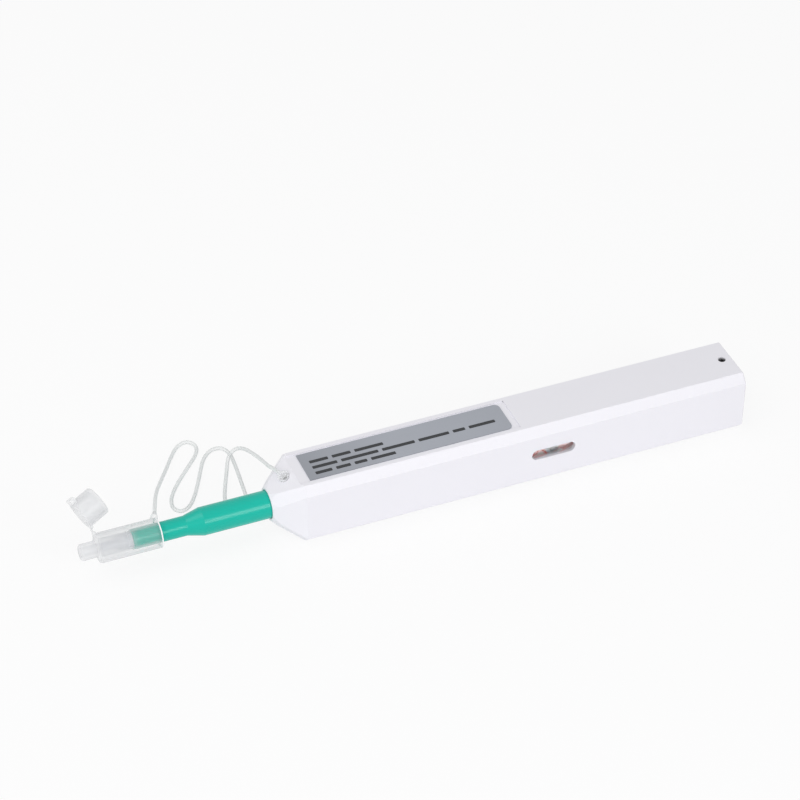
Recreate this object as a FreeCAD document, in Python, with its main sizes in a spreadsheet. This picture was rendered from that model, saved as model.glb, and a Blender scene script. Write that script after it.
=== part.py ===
import FreeCAD
import Part

import math
import os

import Sketcher
from FreeCAD import Placement, Rotation, Vector

# A push-to-clean pen for fibre connectors. Millimetres; +X runs from the cap towards the
# rear end, +Z is up with the label on top, and the origin is the centre of the bottom face.

SIZES = {
    # case
    "case_length": 136.0,
    "case_width": 20.0,
    "edge_chamfer": 2.4,
    "rim_chamfer": 0.4,
    "case_wall": 1.5,
    "taper_length": 8.3,
    "ring_radius": 4.8,
    "ring_run_out": 2.0,
    "collar_length": 4.5,
    "sleeve_length": 8.8,
    "sleeve_wall": 1.5,
    # openings of the case
    "label_length": 61.5,
    "label_width": 11.4,
    "label_thick": 0.25,
    "label_corner": 1.6,
    "label_setback": 2.5,
    "recess_depth": 0.35,
    "recess_gap": 0.6,
    "recess_spare": 2.0,
    "window_length": 13.5,
    "window_height": 3.4,
    "window_from_front": 74.9,
    "window_level": 11.2,
    "lens_sink": 0.35,
    "lens_flange": 1.2,
    "lens_flange_thick": 0.6,
    "strap_hole_radius": 1.15,
    "strap_hole_setback": 3.2,
    "strap_post_radius": 2.4,
    # side cover
    "cover_length": 128.0,
    "cover_height": 13.6,
    "cover_plate": 0.9,
    "cover_step": 1.2,
    "cover_gap": 0.1,
    "hook_length": 5.0,
    "hook_reach": 1.4,
    "hook_thick": 0.8,
    "hook_catch": 0.4,
    "hook_pitch": 38.0,
    # tether button on the sloping facet
    "button_setback": 3.0,
    "button_radius": 1.6,
    "button_thick": 1.2,
    "button_dish": 0.4,
    "button_dish_radius": 0.8,
    "button_stem_radius": 0.8,
    "button_stem_proud": 0.6,
    "button_ear_gap": 0.6,
    "button_ear_radius": 0.66,
    "tether_radius": 0.55,
    "tether_meeting_setback": 1.0,
    "tether_foot_level": 1.1175,
    "tether_foot_drop": 0.5979,
    "tether_foot_side": 2.2,
    "tether_setback": 0.5,
    "tether_stand_off": 1.525,
    "tether_root_length": 2.4,
    "tether_root_radius": 1.1,
    # guide tube
    "tube_radius": 4.05,
    "tube_small_radius": 2.85,
    "tube_exposed": 19.5,
    "tube_cone": 4.8,
    "tube_small_length": 15.5,
    "tube_tail": 18.3,
    "tube_bore_radius": 1.8,
    "tube_flange_radius": 5.8,
    "tube_flange_thick": 1.8,
    "slide_gap": 0.2,
    "stop_gap": 0.1,
    "push_stroke": 10.0,
    # nozzle in the end of the guide tube
    "nozzle_radius": 2.3,
    "nozzle_shoulder": 3.4,
    "nozzle_cone": 1.6,
    "nozzle_tip_radius": 1.22,
    "nozzle_length": 8.7,
    "nozzle_spigot": 4.0,
    "nozzle_bore_radius": 0.85,
    "nozzle_edge": 0.15,
    # rotor and the pin that turns it
    "rotor_radius": 1.5,
    "journal_length": 4.0,
    "running_gap": 0.05,
    "drum_radius": 3.5,
    "drum_behind_pin": 6.4,
    "drum_bore_gap": 0.2,
    "thread_bore_radius": 0.8,
    "groove_depth": 1.2,
    "groove_width": 2.3,
    "groove_lead": 20.0,
    "groove_end_radius": 0.77,
    "pin_radius": 0.6,
    "pin_gap": 0.15,
    "rib_thick": 3.0,
    # springs
    "spring_length": 20.0,
    "spring_radius": 4.8,
    "spring_wire": 0.35,
    "spring_turns": 7.0,
    "tip_spring_radius": 1.25,
    "tip_spring_wire": 0.15,
    "tip_spring_turns": 5.0,
    "tip_spring_length": 6.0,
    # tip head
    "tip_radius": 0.78,
    "tip_face_radius": 0.6,
    "tip_proud": 0.2,
    "tip_shoulder_radius": 1.5,
    "tip_shoulder_thick": 1.0,
    "tip_tail_radius": 0.7,
    "tip_tail_length": 2.0,
    # carriage
    "plate_thick": 1.6,
    "plate_clearance": 2.2,
    "spine_thick": 1.5,
    "spine_height": 7.2,
    "spine_gap": 0.4,
    "spine_space": 0.6,
    "spine_overhang": 9.5,
    "post_radius": 1.4,
    "post_collar_radius": 2.6,
    "post_neck_radius": 1.0,
    "post_neck_length": 0.65,
    "clip_thick": 0.4,
    "clip_radius": 2.4,
    "clip_slot": 1.5,
    "guide_pin_radius": 0.8,
    "guide_pin_spread": 1.45,
    "guide_pin_gap": 0.3,
    "guide_pin_setback": 7.4,
    "brake_thick": 0.35,
    "brake_length": 10.0,
    # reels
    "flange_thick": 0.7,
    "supply_clearance": 1.0,
    "supply_offset": 1.1,
    "pack_setback": 1.1,
    "supply_width": 4.6,
    "supply_from_wall": 2.6,
    "reel_hub_radius": 2.4,
    "reel_windows": 5.0,
    "window_angle": 46.0,
    "window_inner_rim": 0.8,
    "window_outer_rim": 1.2,
    "window_over": 0.2,
    "reel_spacing": 22.0,
    "take_up_clearance": 1.5,
    "take_up_pack_radius": 4.0,
    "take_up_width": 3.5,
    "ratchet_radius": 3.0,
    "ratchet_thick": 1.1,
    "ratchet_teeth": 12.0,
    "ratchet_depth": 0.5,
    "thread_radius": 0.15,
    "thread_lift": 0.02,
    "thread_spread": 0.3,
    "thread_end": 1.0,
    # drive gear and rack
    "gear_module": 0.5,
    "gear_teeth": 20.0,
    "gear_thick": 1.8,
    "gear_side_gap": 0.2,
    "tooth_backlash": 0.12,
    "rack_side": 0.2,
    "pawl_thick": 0.9,
    "pawl_stud_radius": 0.35,
    "pawl_hub_radius": 0.7,
    "pawl_arm_thick": 0.65,
    # cap
    "cap_overlap": 7.9,
    "cap_length": 18.1,
    "cap_radius": 4.3,
    "cap_bore_gap": 0.05,
    "cap_cavity_radius": 2.6,
    "cap_front_wall": 1.3,
    "cap_edge": 1.0,
    "cap_inner_edge": 0.3,
    "cap_rim_edge": 0.3,
    "nose_radius": 2.4,
    "nose_length": 4.8,
    "nose_edge": 0.5,
    "ferrule_radius": 1.27,
    # flip lid
    "lid_radius": 4.35,
    "lid_wall": 0.7,
    "lid_end_wall": 0.9,
    "lid_length": 6.8,
    "lid_gap": 0.15,
    "lid_lip_length": 1.6,
    "lid_lip_reach": 0.9,
    "lid_lip_width": 5.0,
    "hinge_radius": 5.2,
    "hinge_width": 1.5,
    "hinge_film": 0.3,
    "hinge_clear": 0.35,
    "hinge_grip": 0.525,
    "strap_thick": 0.8,
    "cap_tab_half": 1.7,
    "cap_tab_sink": 1.6,
    "lid_tab_half": 1.4,
}

TETHER_SIDE = 55.5  # degrees from straight up towards +Y, of the tether's root on the cap
HINGE_SIDE = 41.0  # degrees from straight up towards +Y, seen along the cap
LID_OPEN = 154.0  # degrees from closed, as stored
PRESSURE_ANGLE = 20.0  # degrees, of rack and gear teeth
DEDENDUM = 1.25  # depth of a tooth below the pitch line, over the module
PAWL_AT = 200.0  # degrees from +X towards +Z round the take-up axle, of the pawl's stud
ELBOW_AT = 167.0  # the same, of the bend in its arm
NOSE_AT = 145.0  # the same, of its nose
NOSE_WIDE = 3.0  # degrees that the nose takes up

ROOT_TWO = math.sqrt(2)
REGULAR = 2 - ROOT_TWO  # chamfer of a regular octagon, over its half width
OCTAGON_CORNER = math.sqrt(1 + (1 - REGULAR) ** 2)  # its corner radius, over its half width
NOTCH_SHARE = 0.9  # of the ratchet's pitch, that a tooth's sloping back takes
PAST = 1.0  # how far a cutting shape reaches past what it cuts
COIL_STEPS = 10  # straight runs in one turn of a spring
FLATS = 6  # sides of a drawn wire or cord

# The tether lies on the table beside the pen. Points of its two runs, which meet behind the
# guide tube: from the cap's root, through two loops, and on to the button on the case.
TETHER_FRONT = [
    (-107.7, 4.8, 13.3), (-106.3, 8.6, 12.9), (-103.8, 15.6, 10.3), (-100.2, 23.4, 6.5),
    (-95.6, 32.4, 2.6), (-91.4, 39.8, 0.8), (-88.6, 43.6, 0.6), (-85.2, 45.2, 0.6),
    (-82.9, 42.6, 0.6), (-83.8, 38.8, 0.6), (-88.4, 33.8, 0.6), (-93.8, 27.8, 0.6),
    (-97.2, 23.0, 0.6), (-98.4, 18.6, 0.6), (-96.6, 16.0, 0.6), (-93.4, 17.2, 0.6),
    (-89.8, 22.6, 0.6), (-86.2, 29.6, 0.6), (-83.4, 35.2, 0.6), (-80.2, 38.6, 0.6),
    (-76.6, 38.8, 0.6), (-75.0, 35.4, 0.6), (-75.4, 29.6, 0.6), (-76.4, 21.4, 0.6),
    (-77.3, 14.4, 0.6),
]
TETHER_REAR = [
    (-77.3, 14.4, 0.6), (-77.75, 10.9, 0.6), (-79.5, 8.8, 0.6), (-82.3, 9.0, 0.6),
    (-84.0, 11.6, 0.6), (-83.6, 15.8, 0.6), (-81.4, 21.6, 0.7), (-78.8, 27.4, 1.2),
    (-76.8, 32.0, 2.1), (-74.4, 33.4, 3.4), (-72.6, 31.0, 5.2), (-72.1, 26.0, 7.6),
    (-72.2, 19.0, 11.2), (-72.6, 11.8, 14.7), (-73.0, 7.4, 17.1), (-72.7, 4.2, 18.5),
    (-72.1, 2.2, 18.75),
]


class Size:
    """A length that carries both its number and the sheet formula that it comes from."""

    def __init__(self, value, formula=None):
        self.value = float(value)
        self.formula = formula or repr(float(value))

    def __float__(self):
        return self.value

    def __add__(self, other):
        other = size(other)
        return Size(self.value + other.value, f"({self.formula} + {other.formula})")

    def __sub__(self, other):
        other = size(other)
        return Size(self.value - other.value, f"({self.formula} - {other.formula})")

    def __mul__(self, other):
        other = size(other)
        return Size(self.value * other.value, f"({self.formula} * {other.formula})")

    def __truediv__(self, other):
        other = size(other)
        return Size(self.value / other.value, f"({self.formula} / {other.formula})")

    def __neg__(self):
        return Size(-self.value, f"(-1 * {self.formula})")

    def __radd__(self, other):
        return size(other) + self

    def __rsub__(self, other):
        return size(other) - self

    def __rmul__(self, other):
        return size(other) * self


def size(number):
    return number if isinstance(number, Size) else Size(number)


def root(number):
    return Size(math.sqrt(float(number)), f"sqrt({number.formula})")


class Sheet:
    """The driving sizes, each a cell of the spreadsheet and an attribute here."""

    def __init__(self, document):
        self.cells = document.addObject("Spreadsheet::Sheet", "Sizes")
        for row, (alias, number) in enumerate(SIZES.items(), 1):
            self.cells.set(f"A{row}", alias)
            self.cells.set(f"B{row}", str(number))
            self.cells.setAlias(f"B{row}", alias)
            setattr(self, alias, Size(number, f"Sizes.{alias}"))


doc = FreeCAD.newDocument("cleaning_pen")
s = Sheet(doc)
doc.recompute()

# Stations along the pen, front to rear.
axis_level = s.case_width / 2
x_front = -s.case_length / 2
x_rear = s.case_length / 2
x_ring = x_front - s.taper_length
x_sleeve = x_ring + s.sleeve_length
x_cone_rear = x_ring - s.tube_exposed
x_cone_front = x_cone_rear - s.tube_cone
x_tube = x_cone_front - s.tube_small_length
x_tube_rear = x_ring + s.tube_tail
x_flange = x_sleeve + s.stop_gap
x_plate = x_flange + s.tube_flange_thick
x_spring = x_plate + s.plate_thick
x_rib = x_spring + s.spring_length
x_pin = x_rib + s.rib_thick / 2
x_drum = x_tube_rear + s.stop_gap
x_drum_rear = x_pin + s.drum_behind_pin
x_journal = x_drum_rear + s.stop_gap
x_window = x_front + s.window_from_front
x_supply = x_window + s.supply_offset
x_take_up = x_supply - s.reel_spacing
x_guide = x_journal + s.guide_pin_setback
x_tip_shoulder = x_tube + s.nozzle_spigot + s.stop_gap
x_tip_spring = x_tip_shoulder + s.tip_shoulder_thick
x_rotor = x_tip_spring + s.tip_spring_length
x_nozzle = x_tube - s.nozzle_length
x_cap_rear = x_tube + s.cap_overlap
x_cap = x_cap_rear - s.cap_length
x_nose = x_cap - s.nose_length
inner_half = s.case_width / 2 - s.case_wall
tube_hole = s.tube_radius + s.slide_gap

# Stations across the pen.
y_spine = inner_half - s.spine_gap - s.spine_thick
y_gear = y_spine - s.spine_space - s.gear_thick
y_ratchet = y_gear - s.gear_side_gap - s.ratchet_thick
y_take_up = y_ratchet - s.take_up_width
y_supply = s.supply_from_wall - inner_half

pitch_radius = s.gear_module * s.gear_teeth / 2
supply_radius = inner_half - s.supply_clearance
supply_pack_radius = supply_radius - s.pack_setback
take_up_radius = inner_half - s.take_up_clearance
plate_radius = inner_half - s.plate_clearance


def bind(item, **sizes):
    """Ties properties of an object to the sheet."""
    for name, length in sizes.items():
        item.setExpression(name.replace("__", "."), size(length).formula)


def put(item, x=0, y=0, z=0, turn=None):
    """Places an object, with its base point tied to the sheet."""
    if turn:
        item.Placement = Placement(Vector(), Rotation(Vector(*turn[0]), turn[1]))
    bind(item, Placement__Base__x=x, Placement__Base__y=y, Placement__Base__z=z)
    return item


def box(name, x0, x1, y0, y1, z0, z1):
    item = doc.addObject("Part::Box", name)
    bind(item, Length=x1 - x0, Width=y1 - y0, Height=z1 - z0)
    return put(item, x0, y0, z0)


TURNS = {"x": ((0, 1, 0), 90), "y": ((1, 0, 0), -90), "z": None}


def rod(name, along, x, y, z, length, radius):
    """A cylinder that starts at a point and runs along +X, +Y or +Z."""
    item = doc.addObject("Part::Cylinder", name)
    bind(item, Radius=radius, Height=length)
    return put(item, x, y, z, TURNS[along])


def fuse(name, *pieces):
    item = doc.addObject("Part::MultiFuse", name)
    item.Shapes = list(pieces)
    return item


def cut(name, base, *tools):
    item = doc.addObject("Part::Cut", name)
    item.Base = base
    item.Tool = tools[0] if len(tools) == 1 else fuse(name + "_tools", *tools)
    return item


def feature(name, shape):
    """A shape that Part's own functions made, kept as an object of the document."""
    item = doc.addObject("Part::Feature", name)
    item.Shape = shape
    return item


def plane(body, role):
    return next(f for f in body.Origin.OriginFeatures if f.Role == role)


def outline(body, name, role, points, offset=0):
    """A closed sketch of straight lines whose corners are tied to the sheet."""
    sketch = body.newObject("Sketcher::SketchObject", name)
    sketch.AttachmentSupport = (plane(body, role), [""])
    sketch.MapMode = "FlatFace"
    bind(sketch, AttachmentOffset__Base__z=offset)
    corners = [tuple(size(value) for value in point) for point in points]
    spots = [Vector(float(a), float(b), 0) for a, b in corners]
    for here, there in zip(spots, spots[1:] + spots[:1]):
        sketch.addGeometry(Part.LineSegment(here, there))
    for index, corner in enumerate(corners):
        before = (index - 1) % len(corners)
        sketch.addConstraint(Sketcher.Constraint("Coincident", before, 2, index, 1))
        for kind, axis, value in zip(("DistanceX", "DistanceY"), (-2, -1), corner):
            if abs(float(value)) < 1e-9:
                sketch.addConstraint(Sketcher.Constraint("PointOnObject", index, 1, axis))
                continue
            tie = Sketcher.Constraint(kind, -1, 1, index, 1, float(value))
            number = sketch.addConstraint(tie)
            sketch.setExpression(f"Constraints[{number}]", value.formula)
    return sketch


def turned(name, points, x, y=0, z=None, along="x"):
    """A turned piece: (distance along, radius) points spun about its own axis."""
    body = doc.addObject("PartDesign::Body", name)
    spin = body.newObject("PartDesign::Revolution", name + "_turn")
    spin.Profile = outline(body, name + "_outline", "XY_Plane", points)
    spin.ReferenceAxis = (spin.Profile[0], ["H_Axis"])
    spin.Angle = 360
    return put(body, x, y, axis_level if z is None else z, {"x": None, "y": ((0, 0, 1), 90)}[along])


def pad(name, role, points, length, x=0, y=0, z=0):
    """A flat piece: an outline pushed along its plane's normal."""
    body = doc.addObject("PartDesign::Body", name)
    extrusion = body.newObject("PartDesign::Pad", name + "_pad")
    extrusion.Profile = outline(body, name + "_outline", role, points)
    bind(extrusion, Length=length)
    return put(body, x, y, z)


def at_station(edge, x):
    return all(abs(corner.X - float(x)) < 1e-4 for corner in edge.Vertexes)


def dress(body, kind, name, wanted, amount):
    """Rounds or bevels those edges of a body that a test picks out."""
    doc.recompute()
    base = body.Tip
    edges = [f"Edge{i}" for i, edge in enumerate(base.Shape.Edges, 1) if wanted(edge)]
    item = body.newObject(f"PartDesign::{kind}", name)
    item.Base = (base, edges)
    bind(item, **{"Radius" if kind == "Fillet" else "Size": amount})


def octagon(half, chamfer):
    """Corners of a square with its corners cut off."""
    flat = half - chamfer
    return [(flat, -half), (half, -flat), (half, flat), (flat, half),
            (-flat, half), (-half, flat), (-half, -flat), (-flat, -half)]


def hull(name, half, chamfer, x0, x1, tip_half, tip_chamfer, x_tip):
    """A chamfered square bar from x0 to x1 whose front tapers to a smaller octagon at x_tip."""
    body = doc.addObject("PartDesign::Body", name)
    bar = body.newObject("PartDesign::Pad", name + "_bar")
    bar.Profile = outline(body, name + "_section", "YZ_Plane", octagon(half, chamfer), x_tip)
    bind(bar, Length=x1 - x_tip)
    facets(body, name + "_side", 0, half, tip_half, x0, x_tip)
    facets(body, name + "_corner", 45, (2 * half - chamfer) / ROOT_TWO,
           (2 * tip_half - tip_chamfer) / ROOT_TWO, x0, x_tip)
    return put(body, z=axis_level)


def facets(body, name, turn, high, low, x0, x_tip):
    """Four sloping faces round a bar, cut from one height down to another towards its tip."""
    slope = (high - low) / (x0 - x_tip)
    wedge = body.newObject("PartDesign::Pocket", name + "_cut")
    wedge.Profile = outline(body, name + "_wedge", "XZ_Plane", [
        (x_tip - PAST, low - slope * PAST), (x0, high), (x_tip - PAST, high)])
    wedge.Profile[0].AttachmentOffset = Placement(Vector(), Rotation(Vector(1, 0, 0), turn))
    wedge.Midplane = True
    wedge.Type = "ThroughAll"
    pattern(body, wedge, name + "_facets", 4)


def slot_block(name, x, z, length, height, y0, y1):
    """A block with round ends, standing across the near wall."""
    radius = height / 2
    straight = box(name + "_mid", x - length / 2 + radius, x + length / 2 - radius,
                   y0, y1, z - radius, z + radius)
    ends = [rod(f"{name}_end{side:+d}", "y", x + side * (length / 2 - radius), y0, z, y1 - y0, radius)
            for side in (-1, 1)]
    return fuse(name, straight, *ends)


def case_tray():
    """The main moulding: all walls but the far side, with the tapered front and its sleeve."""
    steep = (s.case_width / 2 - s.ring_radius) / s.taper_length
    slant = root(1 + steep * steep)
    shell = hull("case_shell", s.case_width / 2, s.edge_chamfer, x_front, x_rear,
                 s.ring_radius, s.ring_radius * REGULAR, x_ring)
    round_off(shell)
    dress(shell, "Chamfer", "case_rear_rim", lambda edge: at_station(edge, x_rear), s.rim_chamfer)
    cavity_tip = s.ring_radius + steep * s.collar_length - s.case_wall * slant
    cavity = hull("case_cavity", inner_half, s.edge_chamfer - s.case_wall * REGULAR,
                  x_front + s.case_wall * (slant - 1) / steep, x_rear - s.case_wall,
                  cavity_tip, cavity_tip * REGULAR, x_ring + s.collar_length)
    hollow = cut("case_hollow", shell, cavity)
    sleeve = rod("case_sleeve", "x", x_ring + s.collar_length, 0, axis_level,
                 s.sleeve_length - s.collar_length, tube_hole + s.sleeve_wall)
    post = rod("strap_post", "z", x_rear - s.strap_hole_setback, 0, s.case_wall / 2,
               s.case_width - s.case_wall, s.strap_post_radius)
    walls = fuse("case_walls", hollow, sleeve, post, rib())
    return cut("case_tray", walls, *case_openings())


def round_off(shell):
    """Turns the front of the taper round, so that the facets' corners run out before the ring."""
    corner = root(s.case_width * s.case_width / 4 + (s.case_width / 2 - s.edge_chamfer)
                  * (s.case_width / 2 - s.edge_chamfer))
    ring_corner = s.ring_radius * OCTAGON_CORNER
    flare = (ring_corner - s.ring_radius) / s.ring_run_out + (corner - ring_corner) / s.taper_length
    reach = 2 * s.ring_run_out
    trim = shell.newObject("PartDesign::Groove", "case_shell_ring")
    trim.Profile = outline(shell, "ring_outline", "XY_Plane", [
        (x_ring - PAST, s.ring_radius - flare * PAST),
        (x_ring + reach, s.ring_radius + flare * reach),
        (x_ring - PAST, s.ring_radius + flare * reach)])
    trim.ReferenceAxis = (trim.Profile[0], ["H_Axis"])
    trim.Angle = 360


def rib():
    """The wall across the case that the return spring pushes on and the pin sits in."""
    across = box("rib_wall", x_rib, x_rib + s.rib_thick, -inner_half, inner_half,
                 s.case_wall, s.case_width - s.case_wall)
    corners = hull_section("rib_section")
    notch = box("rib_notch", x_rib - PAST, x_rib + s.rib_thick + PAST,
                y_spine - s.spine_gap, inner_half + PAST,
                axis_level - s.spine_height / 2 - s.spine_gap,
                axis_level + s.spine_height / 2 + s.spine_gap)
    hole = rod("rib_hole", "x", x_rib - PAST, 0, axis_level, s.rib_thick + 2 * PAST,
               s.drum_radius + s.drum_bore_gap)
    trimmed = doc.addObject("Part::Common", "rib_plate")
    trimmed.Base = across
    trimmed.Tool = corners
    return cut("rib", trimmed, notch, hole)


def hull_section(name):
    """The case's outer section, a little inside its skin, for trimming inner walls."""
    inset = s.case_wall / 2
    return pad(name, "YZ_Plane", octagon(s.case_width / 2 - inset, s.edge_chamfer - inset * REGULAR),
               s.rib_thick + 2 * PAST, x=x_rib - PAST, z=axis_level)


def case_openings():
    """Everything that is cut out of the case."""
    top = s.case_width
    recess_half = s.label_width / 2 + s.recess_gap
    recess_end = x_front + s.label_setback + s.label_length + s.recess_spare
    return [
        rod("tube_way", "x", x_ring - PAST, 0, axis_level, s.sleeve_length + 2 * PAST, tube_hole),
        box("label_recess", x_front - s.taper_length, recess_end, -recess_half, recess_half,
            top - s.recess_depth, top + PAST),
        slot_block("window_hole", x_window, s.window_level, s.window_length, s.window_height,
                   -s.case_width / 2 - PAST, -inner_half + PAST),
        rod("strap_hole", "z", x_rear - s.strap_hole_setback, 0, -PAST, s.case_width + 2 * PAST,
            s.strap_hole_radius),
        rod("pin_hole", "z", x_pin, 0, axis_level + s.drum_radius, s.drum_radius, s.pin_radius),
        box("cover_hole", -s.cover_length / 2 + s.cover_step, s.cover_length / 2 - s.cover_step,
            inner_half - PAST, s.case_width / 2 + PAST,
            axis_level - s.cover_height / 2 + s.cover_step, axis_level + s.cover_height / 2 - s.cover_step),
        box("cover_rebate", -s.cover_length / 2, s.cover_length / 2,
            s.case_width / 2 - s.cover_plate, s.case_width / 2 + PAST,
            axis_level - s.cover_height / 2, axis_level + s.cover_height / 2),
        facet_rod("button_hole", -s.case_wall - PAST, s.case_wall + 2 * PAST, s.button_stem_radius),
    ]


def facet_tilt():
    """Slope of the front's top facet, in degrees."""
    fall = float(s.case_width / 2 - s.ring_radius)
    return math.degrees(math.atan2(fall, float(s.taper_length)))


def facet_point(height):
    """The button's centre on the sloping facet, raised along the facet's normal."""
    tilt = math.radians(facet_tilt())
    level = float(s.case_width) - float(s.button_setback) * math.tan(tilt)
    away = Vector(-math.sin(tilt), 0, math.cos(tilt))
    return Vector(float(x_front - s.button_setback), 0, level) + away * height


def facet_rod(name, start, length, radius):
    """A cylinder that stands square on the sloping facet at the button."""
    item = doc.addObject("Part::Cylinder", name)
    bind(item, Radius=radius, Height=length)
    item.Placement = Placement(facet_point(float(start)), Rotation(Vector(0, 1, 0), -facet_tilt()))
    return item


def side_cover():
    """The far wall: a plate in a rebate, held by hooks along its long edges."""
    far = s.case_width / 2
    half = s.cover_length / 2 - s.cover_gap
    rise = s.cover_height / 2 - s.cover_gap
    skin = box("cover_skin", -half, half, far - s.cover_plate, far, axis_level - rise, axis_level + rise)
    inner = box("cover_inner", -half + s.cover_step, half - s.cover_step, inner_half, far - s.cover_plate,
                axis_level - rise + s.cover_step, axis_level + rise - s.cover_step)
    hooks = [cover_hook(f"hook{place:+d}{side:+d}", place * s.hook_pitch, side, rise - s.cover_step)
             for place in (-1, 0, 1) for side in (-1, 1)]
    return fuse("side_cover", skin, inner, *hooks)


def cover_hook(name, x, side, rise):
    """A snap hook that stands in from the cover, with a catch behind the case's wall."""
    reach = inner_half - s.hook_reach
    x0, x1 = x - s.hook_length / 2, x + s.hook_length / 2
    outer = axis_level + side * rise
    level, tip = outer - side * s.hook_thick, outer + side * s.hook_catch
    if side < 0:
        arm_low, arm_high, catch_low, catch_high = outer, level, tip, outer
    else:
        arm_low, arm_high, catch_low, catch_high = level, outer, outer, tip
    arm = box(name, x0, x1, reach, inner_half + s.cover_gap, arm_low, arm_high)
    catch = box(name + "_catch", x0, x1, reach, inner_half - s.cover_gap, catch_low, catch_high)
    return fuse(name + "_hook", arm, catch)


def label_plate():
    """The label: square corners at the front, round ones at the rear."""
    half = s.label_width / 2
    body = pad("label_plate", "XY_Plane", [(0, -half), (s.label_length, -half),
                                           (s.label_length, half), (0, half)],
               s.label_thick, x=x_front + s.label_setback, z=s.case_width - s.recess_depth)
    dress(body, "Fillet", "label_corners", lambda edge: at_station(edge, s.label_length)
          and abs(edge.Length - float(s.label_thick)) < 1e-4, s.label_corner)
    return body


def window_lens():
    """The clear lens: a round-ended plug with a flange behind the wall."""
    near = -s.case_width / 2
    plug = slot_block("lens_plug", x_window, s.window_level, s.window_length - s.cover_gap,
                      s.window_height - s.cover_gap, near + s.lens_sink, -inner_half)
    flange = slot_block("lens_flange_block", x_window, s.window_level, s.window_length + 2 * s.lens_flange,
                        s.window_height + 2 * s.lens_flange, -inner_half, -inner_half + s.lens_flange_thick)
    return fuse("window_lens", plug, flange)


def tether_button():
    """The button that anchors the tether: a dished head, a stem in the facet and a side ear."""
    head = facet_rod("button_head", 0, s.button_thick, s.button_radius)
    dish = facet_rod("button_dish", float(s.button_thick - s.button_dish), s.button_thick,
                     s.button_dish_radius)
    depth = s.case_wall + s.button_stem_proud
    stem = facet_rod("button_stem", -depth, depth, s.button_stem_radius - s.running_gap)
    foot, before = tether_rear_route()[-1], tether_rear_route()[-2]
    out = (before - foot).normalize()
    length = (foot - facet_point(float(s.button_thick) / 2)).dot(out) - float(s.button_ear_gap)
    ear = doc.addObject("Part::Cone", "button_ear")
    bind(ear, Radius1=s.button_ear_radius, Radius2=s.tether_radius, Height=length)
    ear.Placement = Placement(foot - out * length, Rotation(Vector(0, 0, 1), out))
    return cut("tether_button", fuse("button_body", head, stem, ear), dish)


def anchored(route, head, tail):
    """A tether run with its ends at two given points; what lies on the table stays there."""
    spots = [Vector(*point) for point in route]
    table = min(spot.z for spot in spots)
    head_move, tail_move = head - spots[0], tail - spots[-1]
    moved = []
    for number, spot in enumerate(spots):
        share = number / (len(spots) - 1)
        move = head_move * (1 - share) + tail_move * share
        lift = 0.0
        for end, rise in ((spots[0], head_move.z), (spots[-1], tail_move.z)):
            if end.z > table:
                lift += rise * (spot.z - table) / (end.z - table)
        moved.append(spot + Vector(move.x, move.y, lift))
    return moved


def tether_meeting():
    """Where the tether's two runs meet on the table, behind the guide tube."""
    return Vector(float(x_ring - s.tether_meeting_setback), *TETHER_REAR[0][1:])


def tether_front_route():
    side, reach = math.radians(TETHER_SIDE), float(s.cap_radius + s.tether_stand_off)
    head = Vector(float(x_cap_rear + s.tether_setback), reach * math.sin(side),
                  float(axis_level) + reach * math.cos(side))
    return anchored(TETHER_FRONT, head, tether_meeting())


def tether_rear_route():
    """From the meeting point to the foot of the button's ear."""
    tilt = math.radians(facet_tilt())
    uphill = Vector(math.cos(tilt), 0, math.sin(tilt))
    foot = facet_point(float(s.tether_foot_level)) - uphill * float(s.tether_foot_drop)
    return anchored(TETHER_REAR, tether_meeting(), foot + Vector(0, float(s.tether_foot_side), 0))


def path_wire(route):
    """Straight runs joined by tangent arcs, each as large as its two runs allow."""
    spots = [Vector(point) for point in route]
    edges, here, radii = [], spots[0], []
    for before, corner, after in zip(spots, spots[1:], spots[2:]):
        into, away = before - corner, after - corner
        half_turn = (math.pi - into.getAngle(away)) / 2
        radius = 0.45 * min(into.Length, away.Length) / math.tan(half_turn)
        trim = radius * math.tan(half_turn)
        start = corner + into.normalize() * trim
        end = corner + away.normalize() * trim
        middle = corner + (into + away).normalize() * radius * (1 / math.cos(half_turn) - 1)
        edges += [Part.LineSegment(here, start).toShape(), Part.Arc(start, middle, end).toShape()]
        here = end
        radii.append(radius)
    edges.append(Part.LineSegment(here, spots[-1]).toShape())
    return Part.Wire(edges), radii


def flat_sided(centre, ahead, out):
    """A wire's section: a regular polygon square to the way ahead, with a corner straight out."""
    turns = [Rotation(ahead, 360 / FLATS * step) for step in range(FLATS + 1)]
    return Part.makePolygon([centre + turn.multVec(out) for turn in turns])


def tube(name, route, radius):
    """A cord along a route, drawn with flats, and checked against its section times its length."""
    wire, radii = path_wire(route)
    first = wire.Edges[0]
    start, ahead = first.valueAt(first.FirstParameter), first.tangentAt(first.FirstParameter)
    across = ahead.cross(Vector(0, 0, 1)).normalize() * float(radius)
    item = feature(name, wire.makePipeShell([flat_sided(start, ahead, across)], True, False))
    wanted = FLATS / 2 * math.sin(2 * math.pi / FLATS) * float(radius) ** 2 * wire.Length
    print(f"{name}: length {wire.Length:.1f}, radii", " ".join(f"{r:.1f}" for r in radii),
          f"volume over section times length {item.Shape.Volume / wanted:.4f}")
    return item


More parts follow.
